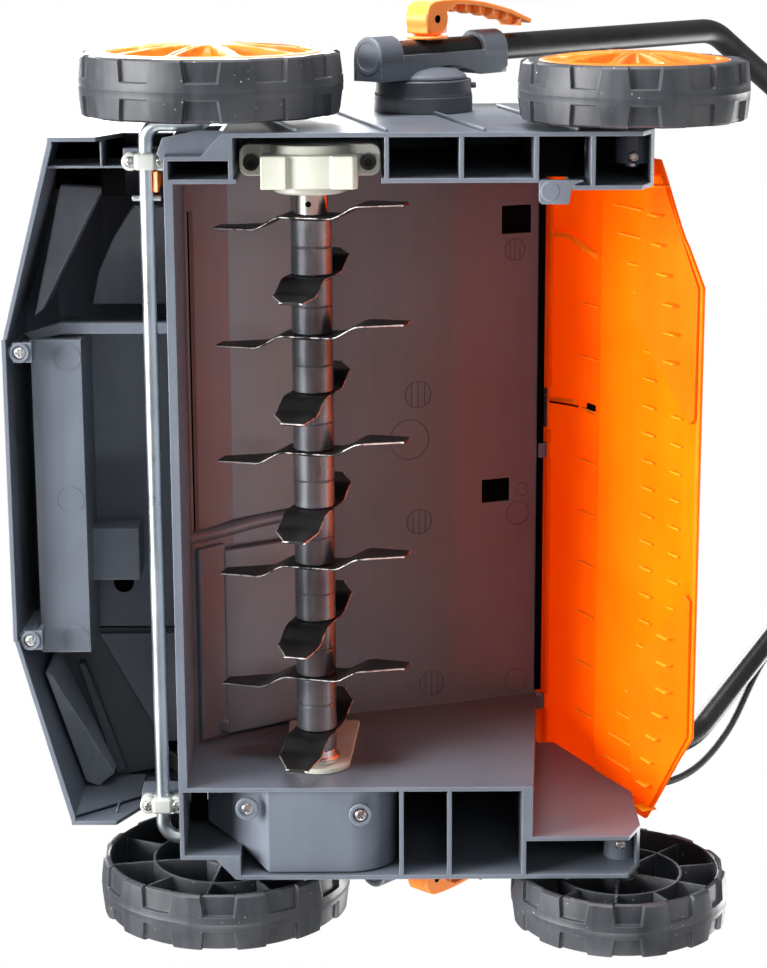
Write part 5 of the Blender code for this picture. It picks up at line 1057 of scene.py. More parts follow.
# Flat plates above them, each as its outline (X, Y) and its span of Z
HOOD_PLATES = [([(0.1881, -0.1818), (0.1882, -0.1500), (0.1155, -0.1500), (0.1152, -0.2151),
                 (0.1391, -0.2101), (0.1651, -0.1984), (0.1859, -0.1848)], (0.235, 0.238)),
               ([(-0.1265, -0.2500), (-0.1265, -0.1520), (-0.2165, -0.1520), (-0.2165, -0.1720),
                 (-0.2386, -0.1720), (-0.2455, -0.2068), (-0.2440, -0.2230), (-0.1800, -0.2400)],
                 (0.2095, 0.2115)),
               ([(-0.1300, -0.2150), (-0.1300, -0.1520), (-0.2160, -0.1520), (-0.2160, -0.1705),
                 (-0.2100, -0.1720)], (0.2055, 0.2080))]
# Ribs beside the hood's ends as outlines along an axis, and as blocks; then black blocks behind them as
# painted shade
HOOD_RIBS = [([(-0.2320, 0.124), (-0.1780, 0.124), (-0.1780, 0.190), (-0.2320, 0.190)],
              (0.2285, 0.2300), "X"),
             ([(-0.2283, 0.124), (-0.1824, 0.165), (-0.1824, 0.210), (-0.2283, 0.210)],
              (-0.2452, -0.2438), "X"),
             ([(0.2459, -0.1485), (0.2551, -0.1450), (0.2598, -0.1219), (0.2598, -0.1000), (0.2440, -0.0989),
               (0.2400, -0.1182), (0.2400, -0.1466)], (0.0600, 0.0620), "Z")]
HOOD_WALLS = [((0.2298, 0.2466), (-0.1935, -0.1920), (0.124, 0.170)),
              ((-0.2470, -0.2440), (-0.1980, -0.1966), (0.136, 0.200))]
HOOD_SHADOWS = [((0.2305, 0.2465), (-0.2300, -0.1775), (0.165, 0.167)),
                ((0.2285, 0.2500), (-0.1790, -0.1435), (0.140, 0.142)),
                ((0.2060, 0.2285), (-0.2340, -0.1905), (0.195, 0.197)),
                ((0.2060, 0.2285), (-0.1960, -0.1795), (0.150, 0.152))]
TRAY_WALL = [(0.1087, -0.2543), (0.1161, -0.2285), (0.1161, -0.1500), (0.1085, -0.1500), (0.1085, -0.2270),
             (0.1040, -0.2480)]
MARKS_ON_TRAY = [(0.0931, -0.2230, 0.140, 0.0093), (-0.0101, -0.2242, 0.140, 0.0093),
                 (-0.1140, -0.2233, 0.140, 0.0093), (0.0962, -0.1696, 0.205, 0.0085)]
# The roof's marks: X, Y, radius and bars; the last is a ring round the roof's small hole
ROOF_HOLE = (-0.0290, 0.1052)
MARKS_ON_CEILING = [(-0.0468, 0.0267, 0.0096, 3), (-0.0471, 0.1016, 0.0090, 0), (-0.1747, 0.0361, 0.0096, 3),
                    (-0.1802, 0.1015, 0.0090, 0), (0.0502, 0.0259, 0.0100, 3), (0.1540, 0.0981, 0.0080, 3),
                    (0.0165, 0.0195, 0.0150, 0), (*ROOF_HOLE, 0.0050, 0)]
# Lines along the roof and its rear edge as their sections (Y, Z): a black groove, a darker channel and a black
# strip under the rear edge, all painted shade
ROOF_LINE_X = (-0.035, 0.197)
ROOF_GROOVE = [(-0.1353, 0.1314), (-0.1344, 0.1324), (-0.1347, 0.1329), (-0.1357, 0.1319)]
ROOF_CHANNEL = [(-0.1344, 0.1324), (-0.1318, 0.1353), (-0.1321, 0.1358), (-0.1348, 0.1329)]
REAR_GAP_SHADE = [(0.1160, 0.2470), (0.1212, 0.2490), (0.1212, 0.2510), (0.1160, 0.2490)]
# The roof's bulge over the motor: its panel and the band below it, and the rounded edge's route
BULGE_PANEL = [(-0.1175, 0.1520), (-0.1160, 0.1465), (-0.0700, 0.1755), (-0.0645, 0.1790), (-0.0645, 0.1885)]
BULGE_BAND = [(-0.1358, 0.1330), (-0.1320, 0.1295), (-0.1141, 0.1493), (-0.1163, 0.1530)]
BULGE_EDGE = [(-0.036, -0.1405, 0.128), (-0.0365, -0.122, 0.147), (-0.034, -0.090, 0.172),
              (-0.0324, -0.0615, 0.188)]
MOTOR_AXIS = (-0.180, 0.258)
MOTOR_CAN = [(-0.1700, 0), (-0.1700, 0.0430), (-0.1680, 0.0450), (0.0180, 0.0450), (0.0200, 0.0430),
             (0.0200, 0)]


class AERATOR_OT_inside(bpy.types.Operator):
    """Adds the folds, ribs, plates and marks on the machine's open underside"""
    bl_idname = "aerator.inside"
    bl_label = "Underside details"

    def execute(self, context):
        folds = [raised(corners, top) for corners, top in HOOD_FLUTES]
        plates = [prism(outline, span, "Z") for outline, span in HOOD_PLATES]
        # The folds and upper plate in the lighter copy and the valley in the darker copy of the deck plastic:
        # painted light and painted shade
        for name, shapes, finish_name in (("folds", [*folds[:2], plates[0]], "painted_light_plastic"),
                                          ("valley", [folds[2], plates[1]], "painted_shade_plastic"),
                                          ("inner_wall", [plates[2]], "deck_plastic")):
            on_deck("hood_" + name, joined(*shapes), finish_name, bevel=0.0012)
        ribs = [prism(*rib) for rib in HOOD_RIBS] + [block(*wall, 0.0003, 1) for wall in HOOD_WALLS]
        on_deck("hood_ribs", joined(*ribs))
        on_deck("hood_shadows", joined(*[block(*space, 0.0004, 1) for space in HOOD_SHADOWS]), "painted_shade_black")
        tray = [block((-0.0790, -0.0400), (-0.2140, -0.1790), (0.172, 0.2054), 0.0012),
                prism(TRAY_WALL, (0.150, 0.158), "Z"), *[mark(*place) for place in MARKS_ON_TRAY]]
        tray += [ring_boss(x, y, z + 0.0002, *TRAY_BOSS) for x, y, z, radius in SCREWS[:2]]
        on_deck("tray_details", joined(*tray))
        # Black discs in two openings and the roof's groove in black: painted shade
        hole_and_groove_shades = [pin("Z", (-0.0901, -0.1946), (0.2043, 0.2053), 0.0075, 0.0002, 40),
                 pin("Z", ROOF_HOLE, (0.2445, 0.2475), 0.0021, 0.0002, 24)]
        on_deck("hole_and_groove_shades", joined(*hole_and_groove_shades, prism(ROOF_GROOVE, ROOF_LINE_X)), "painted_shade_black")
        # The roof's channel in the darker copy of the deck plastic: painted shade
        on_deck("roof_channel", prism(ROOF_CHANNEL, ROOF_LINE_X), "painted_shade_plastic")
        roof = []
        for x, y, radius, bars in MARKS_ON_CEILING:
            height, slope = on_ceiling(y)
            roof.append(mark(x, y, height, radius, slope, bars))
        # The roof's marks in the darker copy of the deck plastic: painted shade
        on_deck("roof_marks", joined(*roof), "painted_shade_plastic")
        # A black strip under the roof's rear edge: painted shade in the gap before the flap
        on_deck("rear_gap_shade", prism(REAR_GAP_SHADE, (-0.190, 0.225)), "painted_shade_black", slot="deck_plastic")
        bulge = joined(prism(BULGE_PANEL, (-0.1905, -0.0500)), prism(BULGE_BAND, (-0.1900, -0.0450)))
        on_deck("motor_bulge", bulge, bevel=0.0022)
        nub = block((-0.1880, -0.1766), (-0.1235, -0.1135), (0.1420, 0.1600), 0.0035, 4)
        on_deck("bulge_edge", joined(nub, tube(smooth(BULGE_EDGE, 0.006), 0.0050, (1, 0, 0), 20)))
        on_deck("motor_drum", shifted(lathe(MOTOR_CAN, 80), moved(0, *MOTOR_AXIS)), "motor_steel",
                ["motor_can"])
        return {"FINISHED"}


# Front axle

# The height lever's clip as its span of X, its stem and knob as spans of X, Y and Z, and the knob's grips
# as their span of X, half their width and their span of Z
CLIP_X = (0.2125, 0.2265)
LEVER_STEM = ((0.2140, 0.2250), (0.0005, 0.0090), (0.0065, 0.220))
LEVER_KNOB = ((0.2085, 0.2305), (-0.017, 0.017), (0.216, 0.250))
LEVER_GRIPS = ((0.2080, 0.2310), 0.0009, (0.222, 0.244))
ROD_RADIUS = 0.005
WASHER = (0.008, 0.0008)
# A clamp's saddle and plate, each as half its width and its spans of Y and Z, and its screw heads' scale
CLAMP_SADDLE = (0.0058, (-0.0072, 0.0072), (-0.0086, 0.0050))
CLAMP_PLATE = (0.0050, (-0.0130, 0.0130), (-0.0048, 0.0050))
CLAMP_HEAD = (0.0039, 0.0039, 0.0024, 1)


class AERATOR_OT_axle(bpy.types.Operator):
    """Replaces the front axle, its clamps, the rear stub axles and the height lever"""
    bl_idname = "aerator.axle"
    bl_label = "Front axle"

    def execute(self, context):
        wheel_x, width = WHEELS["front"][:2]
        web = wheel_x + width - WHEEL_RECESS
        half = [(web + 0.0013, *CRANK), (CRANK_X, *CRANK), (CRANK_X, 0, 0)]
        corners = half + [(-x, y, z) for x, y, z in reversed(half)]
        rod = tube(rounded(corners, 0.012, 14), ROD_RADIUS, (0.3, 1, 0.2), 32)
        heads = [shifted(shaft((side * (web + 0.0003), side * (web + 0.0033)), *WASHER), moved(0, *CRANK))
                 for side, label in SIDES]
        piece("crank_axle", joined(rod, *heads), AXLE, "front_axle", "zinc", ["front_axle"], angle=24)
        piece("pin", pin("Y", (0.208, 0), (-0.010, 0.010), 0.002), AXLE, "front_axle", "zinc", ["cross_pin"])
        for side, label in SIDES:
            x = side * CLAMP_MIDDLE
            screw_y = (-CLAMP_SCREW, CLAMP_SCREW)
            parts = [block((x - half, x + half), *spans, *edge) for (half, *spans), edge in (
                (CLAMP_SADDLE, (0.0022, 3)), (CLAMP_PLATE, (0.0012,)))]
            parts += [pin("Z", (x, y), (-0.0058, 0.0050), 0.0062, 0.0009, 40) for y in screw_y]
            piece("clamp_" + label, joined(*parts), AXLE, "chassis", "clamp_nylon", ["axle_clamp_" + label])
            heads = [AXLE @ moved(x, y, -0.0056) @ np.diag(CLAMP_HEAD) for y in screw_y]
            piece("clamp_screws_" + label, shifted(screw_shape(), *heads), np.eye(4), "chassis",
                  "bright_steel")
            stub = [shaft((side * low, side * high), *sizes) for low, high, sizes in (
                (0.233, 0.2967, (ROD_RADIUS, 0.0006)), (0.2963, 0.2993, WASHER), (0.2603, 0.2707, WASHER))]
            piece("stub_axle_" + label, joined(*stub), DECK @ moved(0, *REAR_WHEEL), "chassis", "zinc",
                  ["rear_axle_" + label])
        clip = prism([*arc((0, 0), 0.0086, -25, 100, 24), *arc((0, 0), 0.0053, 100, -25, 24)], CLIP_X)
        x, half, z = LEVER_GRIPS
        grips = [block(x, (y - half, y + half), z, 0.0005, 1) for y in np.linspace(-0.010, 0.010, 5)]
        lever = joined(clip, block(*LEVER_STEM, 0.0018), block(*LEVER_KNOB, 0.0055, 4), *grips)
        piece("lever", lever, AXLE, "front_axle", "orange_plastic", ["height_lever"])
        return {"FINISHED"}


# Rear flap: X across it, V from its hinge to its edge; its lower corners are cut by so much of each

FLAP_X = (-0.243, 0.234)
FLAP_START = 0.006
FLAP_END = 0.222
FLAP_FACE = 0.00125
FLAP_CREASE = (0.0835, 0.0885)
LUG_PLACES = (-0.200, 0.0, 0.200)
LUG_HALF = 0.0058
FLAP_CORNER = (0.080, 0.060)
FLAP_WALL = -0.0024
FIN_START = 0.1003
FIN_PITCH = 0.0195
SPRING_X = (0.0165, 0.0475)
SPRING_RADIUS = 0.0048
BARREL_BORE = 0.0028
BARREL_RADIUS = 0.006
COIL_TURNS = 5


def flap_end(x):
    """How far the flap reaches from its hinge at X: its two lower corners are cut off."""
    aside = np.minimum(x - FLAP_X[0], FLAP_X[1] - x)
    return FLAP_END - FLAP_CORNER[1] * np.clip(1 - aside / FLAP_CORNER[0], 0, 1)


def flap_rise(x, v):
    """How far the flap's inner face stands in: hollow to the crease, then a shoulder and a soft fall."""
    low, high = FLAP_CREASE
    ridge = np.interp(v, [0, 0.010, 0.035, low, high, 0.125, 0.170, 0.195, 0.222],
                      [0, -0.0002, -0.0034, -0.0026, 0.0020, 0.0016, 0.0004, 0.0012, 0.0])
    bow = 0.00064 * np.cos(pi * np.clip((x - 0.19) / 0.05, -1, 1)) * step_up(v, 0.105, 0.150) * (v < 0.2)
    return ridge + bow


def flap_shape():
    """The flap's sheet: P(x, v) = (x, -rise, -v), v running from the hinge to the edge at each X.

    The rows are straight near the hinge and turn with the cut corners towards the edge.
    """
    corners = [FLAP_X[0] + FLAP_CORNER[0], FLAP_X[1] - FLAP_CORNER[0]]
    x = np.unique(np.concatenate([np.linspace(*FLAP_X, 97), corners]))[:, None]
    share = np.unique(np.concatenate([np.linspace(0, 1, 45), np.array(FLAP_CREASE) / FLAP_END]))[None, :]
    straight, turning = [FLAP_START + (end - FLAP_START) * share for end in (FLAP_END, flap_end(x))]
    blend = step_up(share, 0.45, 0.9)
    v = straight * (1 - blend) + turning * blend
    x = np.broadcast_to(x, v.shape)
    return grid(np.stack([x, -FLAP_FACE - flap_rise(x, v), -v], axis=-1))


def flap_fins():
    """Two rows of short fins across the flap, turned aside at its corners, and thin ones at its hinge."""
    fins = []
    for x in FIN_START + FIN_PITCH * np.arange(-17, 7):
        aside = max(x, -x - 0.009)
        low = np.interp(aside, [0.100, 0.158, 0.175, 0.192, 0.210], [0.1515, 0.1290, 0.1170, 0.1105, 0.1050])
        high = np.interp(aside, [0.100, 0.158, 0.192], [0.1665, 0.1520, 0.1475])
        outer = np.interp(aside, [0.100, 0.130, 0.150, 0.168, 0.186, 0.210],
                          [0.1905, 0.1905, 0.1840, 0.1760, 0.1695, 0.1630])
        for near, far, top in ((low, high, 0.0042),
                               (outer, outer + 0.0130, 0.0042 if aside < 0.085 else 0.0118)):
            rise = flap_rise(x, (near + far) / 2)
            fins.append(block((x - 0.0007, x + 0.0007), (-top - rise, -rise), (-far, -near), 0.0005, 1))
    for x in FIN_START + FIN_PITCH * np.arange(-15, 5, 2):
        fins.append(block((x - 0.0005, x + 0.0005), (-0.0016, 0.0032), (-0.0800, -0.0560), 0.0004, 1))
    return fins


# A facet's outline on the left corner as X before the flap's reach, V and the height of its face
FACET = [(0.2240, 0.1700, 0.0040), (0.2015, 0.1580, 0.0110), (0.1214, 0.1520, 0.0135),
         (0.0600, 0.2150, 0.0050), (0.0640, 0.2195, 0.0040), (0.1535, 0.2195, 0.0035)]
FACET_INNER = (3, 4)
FACET_FOOT = 0.0010


def flap_facets():
    """The raised facets along both cut corners, moved out by how far each end of the flap reaches."""
    facets = []
    for side, reach in ((1, FLAP_X[1]), (-1, -FLAP_X[0])):
        x, v, height = np.array(FACET).T
        x = side * (x + (reach - FLAP_X[1]) * ~np.isin(np.arange(len(x)), FACET_INNER))
        facets.append(capped(np.stack([np.stack([x, 0 * x - FACET_FOOT, -v], axis=-1),
                                       np.stack([x, -height, -v], axis=-1)])))
    return facets


def flap_ribs():
    """The two ribs on the flap's hinge side, and a slit with the hole beside it, both drawn black as painted
    shade.
    """
    slanted = smooth([(0.1634, 0.0005, -0.008), (0.1656, 0.0, -0.034), (0.1555, 0.0, -0.0793)], 0.004)
    straight = np.array([(0.0395, 0.0005, -0.008), (0.0449, -0.0002, -0.049)])
    v = np.linspace(0.010, 0.049, 9)
    face = np.stack([0.0375 + 0.08 * (v - v[0]), -FLAP_FACE - flap_rise(0.04, v), -v], axis=-1)
    hole = block((0.0400, 0.0468), (-0.0002, 0.0016), (-0.0760, -0.0645), 0.0008, 1)
    return [tube(slanted, 0.0022, (1, 0, 0), 16), tube(straight, 0.0016, (1, 0, 0), 16)], \
        [tube(face, 0.0007, (1, 0, 0), 8), hole]


def flap_barrels():
    """The hinge's barrels between the lugs, open over the spring, each with its foot on the flap."""
    edges = [FLAP_X[0], *[x + half for x in LUG_PLACES for half in (-LUG_HALF, LUG_HALF)], FLAP_X[1]]
    spans = []
    for low, high in zip(edges[::2], edges[1::2]):
        spans += [(low, SPRING_X[0]), (SPRING_X[1], high)] if low < SPRING_X[0] < high else [(low, high)]
    shapes = []
    for a, b in spans:
        shapes.append(lathe(chamfered(a, b, BARREL_BORE, BARREL_RADIUS, 0.0005), 32, ring=True))
        shapes.append(block((a + 0.0004, b - 0.0004), (-0.0030, 0.0016), (-0.012, -0.0035), 0.0006, 1))
    return joined(*shapes)


def spring_path():
    """The return spring's wire: a leg, a helix (x0 + p t, r cos t, r sin t) and a short end."""
    sweep = 2 * pi * COIL_TURNS
    turn = np.linspace(0, sweep, 181) - pi / 2
    coil = np.stack([0.020 + 0.024 * (turn + pi / 2) / sweep, SPRING_RADIUS * np.cos(turn),
                     SPRING_RADIUS * np.sin(turn)], axis=-1)
    leg = np.array([[0.020, -0.012, -0.0042], [0.020, -0.0045, -0.0046]])
    return np.vstack([leg, coil, coil[-1:] + np.array([0, 0.0054, 0])])


class AERATOR_OT_flap(bpy.types.Operator):
    """Replaces the rear flap, its hinge rod and spring"""
    bl_idname = "aerator.flap"
    bl_label = "Rear flap"

    def execute(self, context):
        ribs, gaps = flap_ribs()
        for name, shape, finish_name, more in (
                ("sheet", flap_shape(), "flap_plastic",
                 dict(replaces=["rear_flap"], wall=FLAP_WALL, angle=12)),
                ("fins", joined(*flap_fins(), *ribs), "flap_fin_painted_highlight", {}),
                ("gaps", joined(*gaps), "painted_shade_black", dict(slot="orange_plastic")),
                ("facets", joined(*flap_facets()), "flap_facet_painted_shade", dict(bevel=0.0006, angle=12)),
                ("barrels", flap_barrels(), "flap_plastic", {})):
            piece("flap_" + name, shape, FLAP, "rear_flap", finish_name, **more)
        hinge = DECK @ moved(0, *FLAP_HINGE)
        rod = shaft((FLAP_X[0] - 0.003, FLAP_X[1] + 0.003), 0.0025, 0.0003, 24)
        piece("hinge_rod", rod, hinge, "chassis", "black_steel", ["flap_hinge_rod"], slot="zinc")
        wire = tube(spring_path(), 0.0007, (1, 0, 0.2), 10)
        piece("spring", wire, hinge, "chassis", "black_steel", ["flap_spring"], slot="zinc")
        hull = prism([*arc((0, 0), BARREL_RADIUS, -50, 110, 16), *arc((0, 0), 0.00562, 110, -50, 16)],
                     (SPRING_X[0] - 0.0001, SPRING_X[1] + 0.0001))
        piece("spring_hull", hull, FLAP, "rear_flap", "orange_plastic")
        core = lathe([(0.0185, 0.0026), (0.0185, 0.0038), (0.0455, 0.0038), (0.0455, 0.0026)], 32, ring=True)
        piece("spring_core", core, hinge, "chassis", "black_plastic")
        return {"FINISHED"}


# Handle

SEAT_FOOT = 0.2838
SEAT_END = -0.0575
SEAT_RADIUS = 0.0135
# The seat's humps as spans of S, its plates as spans of N and its dome as (X, radius)
SEAT_HUMPS = ((-0.058, -0.034), (0.052, 0.078))
SEAT_PLATES = ((-0.0131, -0.0100), (0.0100, 0.0131))
SEAT_DOME = [(0.2831, 0), (0.2831, 0.0305), (0.2837, 0.031), (0.2855, 0.0305), (0.2895, 0.024),
             (0.2915, 0.012), (0.2918, 0)]


def cradle_shape():
    """The tube's seat on the turret: two round humps, a trough between them and an arched foot."""
    beside = moved(LOWER_X, 0, 0)
    humps = []
    for low, high in SEAT_HUMPS:
        ring = chamfered(low, high, TUBE_BORE, SEAT_RADIUS, 0.001)
        humps.append(shifted(along("Y", lathe(ring, 64, ring=True)), beside))
    humps.append(shifted(along("Y", shaft((-0.0576, -0.0530), 0.0104, 0.0006, 48)), beside))
    middle_line = (0, LOWER_X)
    trough = prism([*arc(middle_line, SEAT_RADIUS - 0.0001, 180, 360, 24),
                    *arc(middle_line, TUBE_BORE, 360, 180, 24)],
                   (-0.036, 0.054), "Y")
    arch = [(SEAT_FOOT, SEAT_END), (0.2990, SEAT_END), (0.2990, 0.0775), (0.2880, 0.0775),
            (SEAT_FOOT, 0.0700), (SEAT_FOOT, 0.0480)]
    arch += [(SEAT_FOOT + 0.0082 * sin(pi * t), 0.0480 - 0.0690 * t) for t in np.linspace(0, 1, 17)[1:-1]]
    arch.append((SEAT_FOOT, -0.0210))
    plates = [prism(arch, span, "Z") for span in SEAT_PLATES]
    ends = [block((SEAT_FOOT, 0.2930), (SEAT_END, -0.0225), (-0.0128, 0.0128), 0.0008),
            block((SEAT_FOOT, 0.2930), (0.0490, 0.0772), (-0.0128, 0.0128), 0.0012)]
    return joined(*humps, trough, *plates, *ends)


# The lever's upper side as (S, X)
CAM_TOP = np.array([(-0.011, 0.004), (-0.0085, 0.0095), (-0.003, 0.0122), (0.006, 0.0130), (0.021, 0.0130),
                    (0.036, 0.0120), (0.052, 0.0100), (0.067, 0.0070), (0.081, 0.0038), (0.094, -0.0006),
                    (0.104, -0.0040), (0.103, -0.0072)])
CAM_RIBS = 6
CAM_RIB_START = 0.016
CAM_RIB_PITCH = 0.0152


def cam_shape():
    """The clamping lever: an arm with ribs under its curved top, its head, a disc with a tongue, its eye."""
    under = CAM_TOP[::-1] - np.array([0.0, 0.0034])
    under = under[(under[:, 0] > 0.012) & (under[:, 0] < 0.101)]
    plate = [(x, s) for s, x in np.vstack([CAM_TOP, under])] + [(0.0040, 0.010), (-0.0005, -0.010)]
    s = np.linspace(0.092, CAM_RIB_START, 61)
    scallop = np.abs(np.sin(pi * (s - CAM_RIB_START) / CAM_RIB_PITCH)) ** 0.6 * step_up(s, 0.010, 0.03)
    edge = np.interp(s, *CAM_TOP.T) - 0.0062 - 0.0034 * scallop
    web = np.vstack([CAM_TOP[3:-1, ::-1] - np.array([0.001, 0]), np.stack([edge, s], axis=1)])
    ribs = []
    for s in CAM_RIB_START + CAM_RIB_PITCH * np.arange(CAM_RIBS):
        high = np.interp(s, *CAM_TOP.T)
        ribs.append(block((high - 0.0085, high - 0.002), (s - 0.0009, s + 0.0009), (-0.0098, 0.0098),
                          0.0004, 1))
    head = pin("Z", (0, 0), (-0.0103, 0.0103), 0.0120, 0.0012, 56)
    heel = block((-0.0100, 0.0040), (-0.0108, 0.0106), (-0.0100, 0.0100), 0.0012)
    flange = shaft((-0.0139, -0.0119), 0.0152, 0.0005, 56)
    tongue = block((-0.0165, -0.0125), (-0.0045, 0.0105), (-0.0042, 0.0042), 0.0010)
    return joined(prism(plate, (-0.0104, 0.0104), "Z"), prism(web, (-0.0030, 0.0030), "Z")), \
        joined(*ribs, head, heel), joined(flange, tongue), \
        pin("Z", (0, 0), (-0.01042, 0.01042), 0.0030, 0.0002, 32)


KNOB_RADIUS = 0.018


def knob_shape():
    """A six-lobed knob on a neck, its radius R (0.89 + 0.11 cos 6a) drawn in at both faces, and its bolt."""
    a = np.linspace(0, 2 * pi, 96, endpoint=False)
    rows = np.array([(0.0030, 0), (0.0030, 0.80), (0.0036, 0.93), (0.0048, 1), (0.0170, 1), (0.0190, 0.95),
                     (0.0200, 0.84), (0.0194, 0.55), (0.0194, 0)])
    reach = KNOB_RADIUS * rows[:, 1:] * (0.89 + 0.11 * np.cos(6 * a))
    points = np.stack([np.broadcast_to(rows[:, :1], reach.shape), reach * np.cos(a), reach * np.sin(a)],
                      axis=-1)
    return joined(grid(points, closed_v=True), shaft((0, 0.0040), 0.009, 0.0005),
                  shaft((-0.0433, 0.0035), 0.003, 0.0004, 24))


GRIP = [(-0.105, TUBE_BORE), (-0.105, 0.0128), (-0.1035, 0.014), (0.1035, 0.014), (0.105, 0.0128),
        (0.105, TUBE_BORE)]
BOX_S = (0.850, 0.930)
BUTTON = [(0.026, 0), (0.026, 0.0066), (0.0395, 0.007), (0.0408, 0.0058), (0.041, 0.003), (0.0409, 0)]
BUTTON_AT = (-0.167, 0.900)
BAIL_RADIUS = 0.004
BAIL_BAR = [(0.1795, 0, 0), (0.154, 0, 0), (0.154, 0.090, 0.065), (-0.1325, 0.090, 0.065), (-0.1325, 0, 0),
            (-0.160, 0, 0)]


class AERATOR_OT_handle(bpy.types.Operator):
    """Replaces the handle's tubes, seats, levers, knobs, grip, switch box and bail"""
    bl_idname = "aerator.handle"
    bl_label = "Handle"

    def execute(self, context):
        arm, head, flange, eye = cam_shape()
        leg = tube(rounded([(x, s, 0) for x, s in LOWER_TUBE], 0.060, 14), TUBE_RADIUS, (0, 0, 1), 40)
        stud = shifted(shaft((0.3090, 0.3127), 0.003, 0.0004, 24), moved(0, CAM_PIVOT[1], 0))
        for side, label in SIDES:
            place = HANDLE @ flipped(side)
            body = "handle_lower"
            piece("lower_leg_" + label, leg, place, body, "tube_paint", ["lower_tube_" + label], angle=24)
            piece("seat_" + label, cradle_shape(), place, body, "deck_plastic", ["cradle_" + label], angle=24)
            piece("seat_dome_" + label, lathe(SEAT_DOME, 64), place, body, "deck_plastic")
            piece("seat_stud_" + label, stud, place, body, "zinc")
            lever = place @ moved(*CAM_PIVOT, 0)
            body = "cam_lever_" + label
            piece("cam_arm_" + label, arm, lever, body, "lever_plastic", [body], bevel=0.0009, angle=24)
            piece("cam_head_" + label, head, lever, body, "lever_plastic", angle=24)
            piece("cam_flange_" + label, flange, lever, body, "lever_plastic")
            # The lever's eye as a black rod: painted shade
            piece("cam_hole_" + label, eye, lever, body, "painted_shade_black")
            body = "handle_knob_" + label
            fold = place @ moved(0.2148, FOLD_S, 0)
            piece("knob_" + label, knob_shape(), fold, body, "black_plastic", [body], angle=28)
        start, top = UPPER_S
        corners = [(UPPER_X, start, 0), (UPPER_X, top, 0), (-UPPER_X, top, 0), (-UPPER_X, start, 0)]
        piece("upper_frame", tube(rounded(corners, 0.070, 18), TUBE_RADIUS, (0, 0, 1), 40), HANDLE,
              "handle_upper", "tube_paint", ["upper_handle"], angle=24)
        pad = piece("grip", lathe(GRIP, 64, ring=True), HANDLE @ moved(0, top, 0), "handle_upper", "foam",
                    ["grip_sleeve"])
        box = block((-0.2035, -0.150), BOX_S, (-0.020, 0.035), 0.0055, 4)
        collar = lathe([(BOX_S[0], TUBE_BORE), (BOX_S[0], 0.0118), (BOX_S[1], 0.0118), (BOX_S[1], TUBE_BORE)],
                       48, ring=True)
        shell = joined(box, shifted(along("Y", collar), moved(-UPPER_X, 0, 0)))
        piece("box_shell", shell, HANDLE, "handle_upper", "black_plastic", ["switch_box"])
        piece("bail_bar", tube(rounded(BAIL_BAR, 0.012, 12), BAIL_RADIUS, (0, 0.3, 1), 28),
              HANDLE @ moved(0, BAIL_S, 0), "bail", "orange_plastic", ["bail_lever"], angle=24)
        button = shifted(along("Z", lathe(BUTTON, 40)), moved(*BUTTON_AT, 0))
        piece("button", button, HANDLE, "lock_button", "orange_plastic", ["lock_button"])
        return {"FINISHED"}


# Cables: the route on the deck, then beside the tubes as (X, S, N)

CABLE_RADIUS = 0.003
CABLE_ON_DECK = [(-0.200, -0.04610, 0.28525), (-0.200, -0.03827, 0.29354), (-0.215, 0.012, 0.332),
                 (-0.252, 0.080, 0.350), (-0.300, 0.158, 0.372), (-0.326, 0.222, 0.402),
                 (-0.329, 0.264, 0.441), (-0.309, 0.300, 0.483)]
CABLE_BESIDE = [(-0.2613, 0.450, 0.001), (-0.2391, 0.490, 0.003)]
CABLE_ON_HANDLE = [(-0.219, 0.530, 0.0080), (-0.207, 0.570, 0.0145), (-0.202, 0.620, 0.0148),
                   (-0.193, 0.6706, 0.0145), (-0.187, 0.721, 0.0138), (-0.186, 0.790, 0.0138),
                   (-0.186, 0.8496, 0.0138)]
BOX_SLEEVE = [(-0.186, 0.8496, 0.0142), (-0.186, 0.826, 0.0140)]


def cable_piece(name, path, node_name):
    """A free cable along its path, on no body, that goes back into the machine; it hides the imported cable
    node.
    """
    thing = piece(name, tube(path, CABLE_RADIUS, (1, 0, 0.1), 20), np.eye(4), None, "rubber", [node_name])
    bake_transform(thing)


def sleeve_on(path, length):
    """A tapered sleeve over a path's first stretch, 5.2 mm in radius at the housing and 3.6 at its end."""
    run = np.concatenate([[0], np.cumsum(np.linalg.norm(np.diff(path, axis=0), axis=1))])
    first = path[run <= length]
    return tube(first, np.interp(run[:len(first)], [0, length], [0.0052, 0.0036]), (1, 0, 0.1), 24)


CABLE_STEP = 0.005
CABLE_GAP = 0.0006
SLEEVE_LENGTH = 0.024


class AERATOR_OT_cables(bpy.types.Operator):
    """Replaces the power cable and the handle's cable, with a sleeve at the hood and one at the switch box"""
    bl_idname = "aerator.cables"
    bl_label = "Cables"

    def execute(self, context):
        route = np.vstack([placed(np.array(CABLE_ON_DECK), DECK), placed(np.array(CABLE_BESIDE), HANDLE)])
        first = smooth(route, CABLE_STEP)
        cable_piece("hood_cable", first,
                    "power_cable")
        piece("hood_sleeve", sleeve_on(first, SLEEVE_LENGTH), np.eye(4), "chassis", "rubber")
        start = np.array(CABLE_BESIDE[-1])
        ahead = np.array(CABLE_ON_HANDLE[0]) - start
        start = start + CABLE_GAP * ahead / np.linalg.norm(ahead)
        second = smooth(placed(np.vstack([start, CABLE_ON_HANDLE]), HANDLE), CABLE_STEP)
        cable_piece("tube_cable", second, "handle_cable")
        sleeve = tube(BOX_SLEEVE, np.array([0.0043, 0.0034]), (1, 0, 0), 24)
        piece("box_sleeve", sleeve, HANDLE, "handle_upper", "rubber")
        return {"FINISHED"}


# Stage

CAMERA_AT = (0.4171, 0.0, -1.582)
CAMERA_PITCH = radians(13.6)
CAMERA_ROLL = radians(-0.26)
CAMERA_LENS = 92.2
SENSOR = 36.0

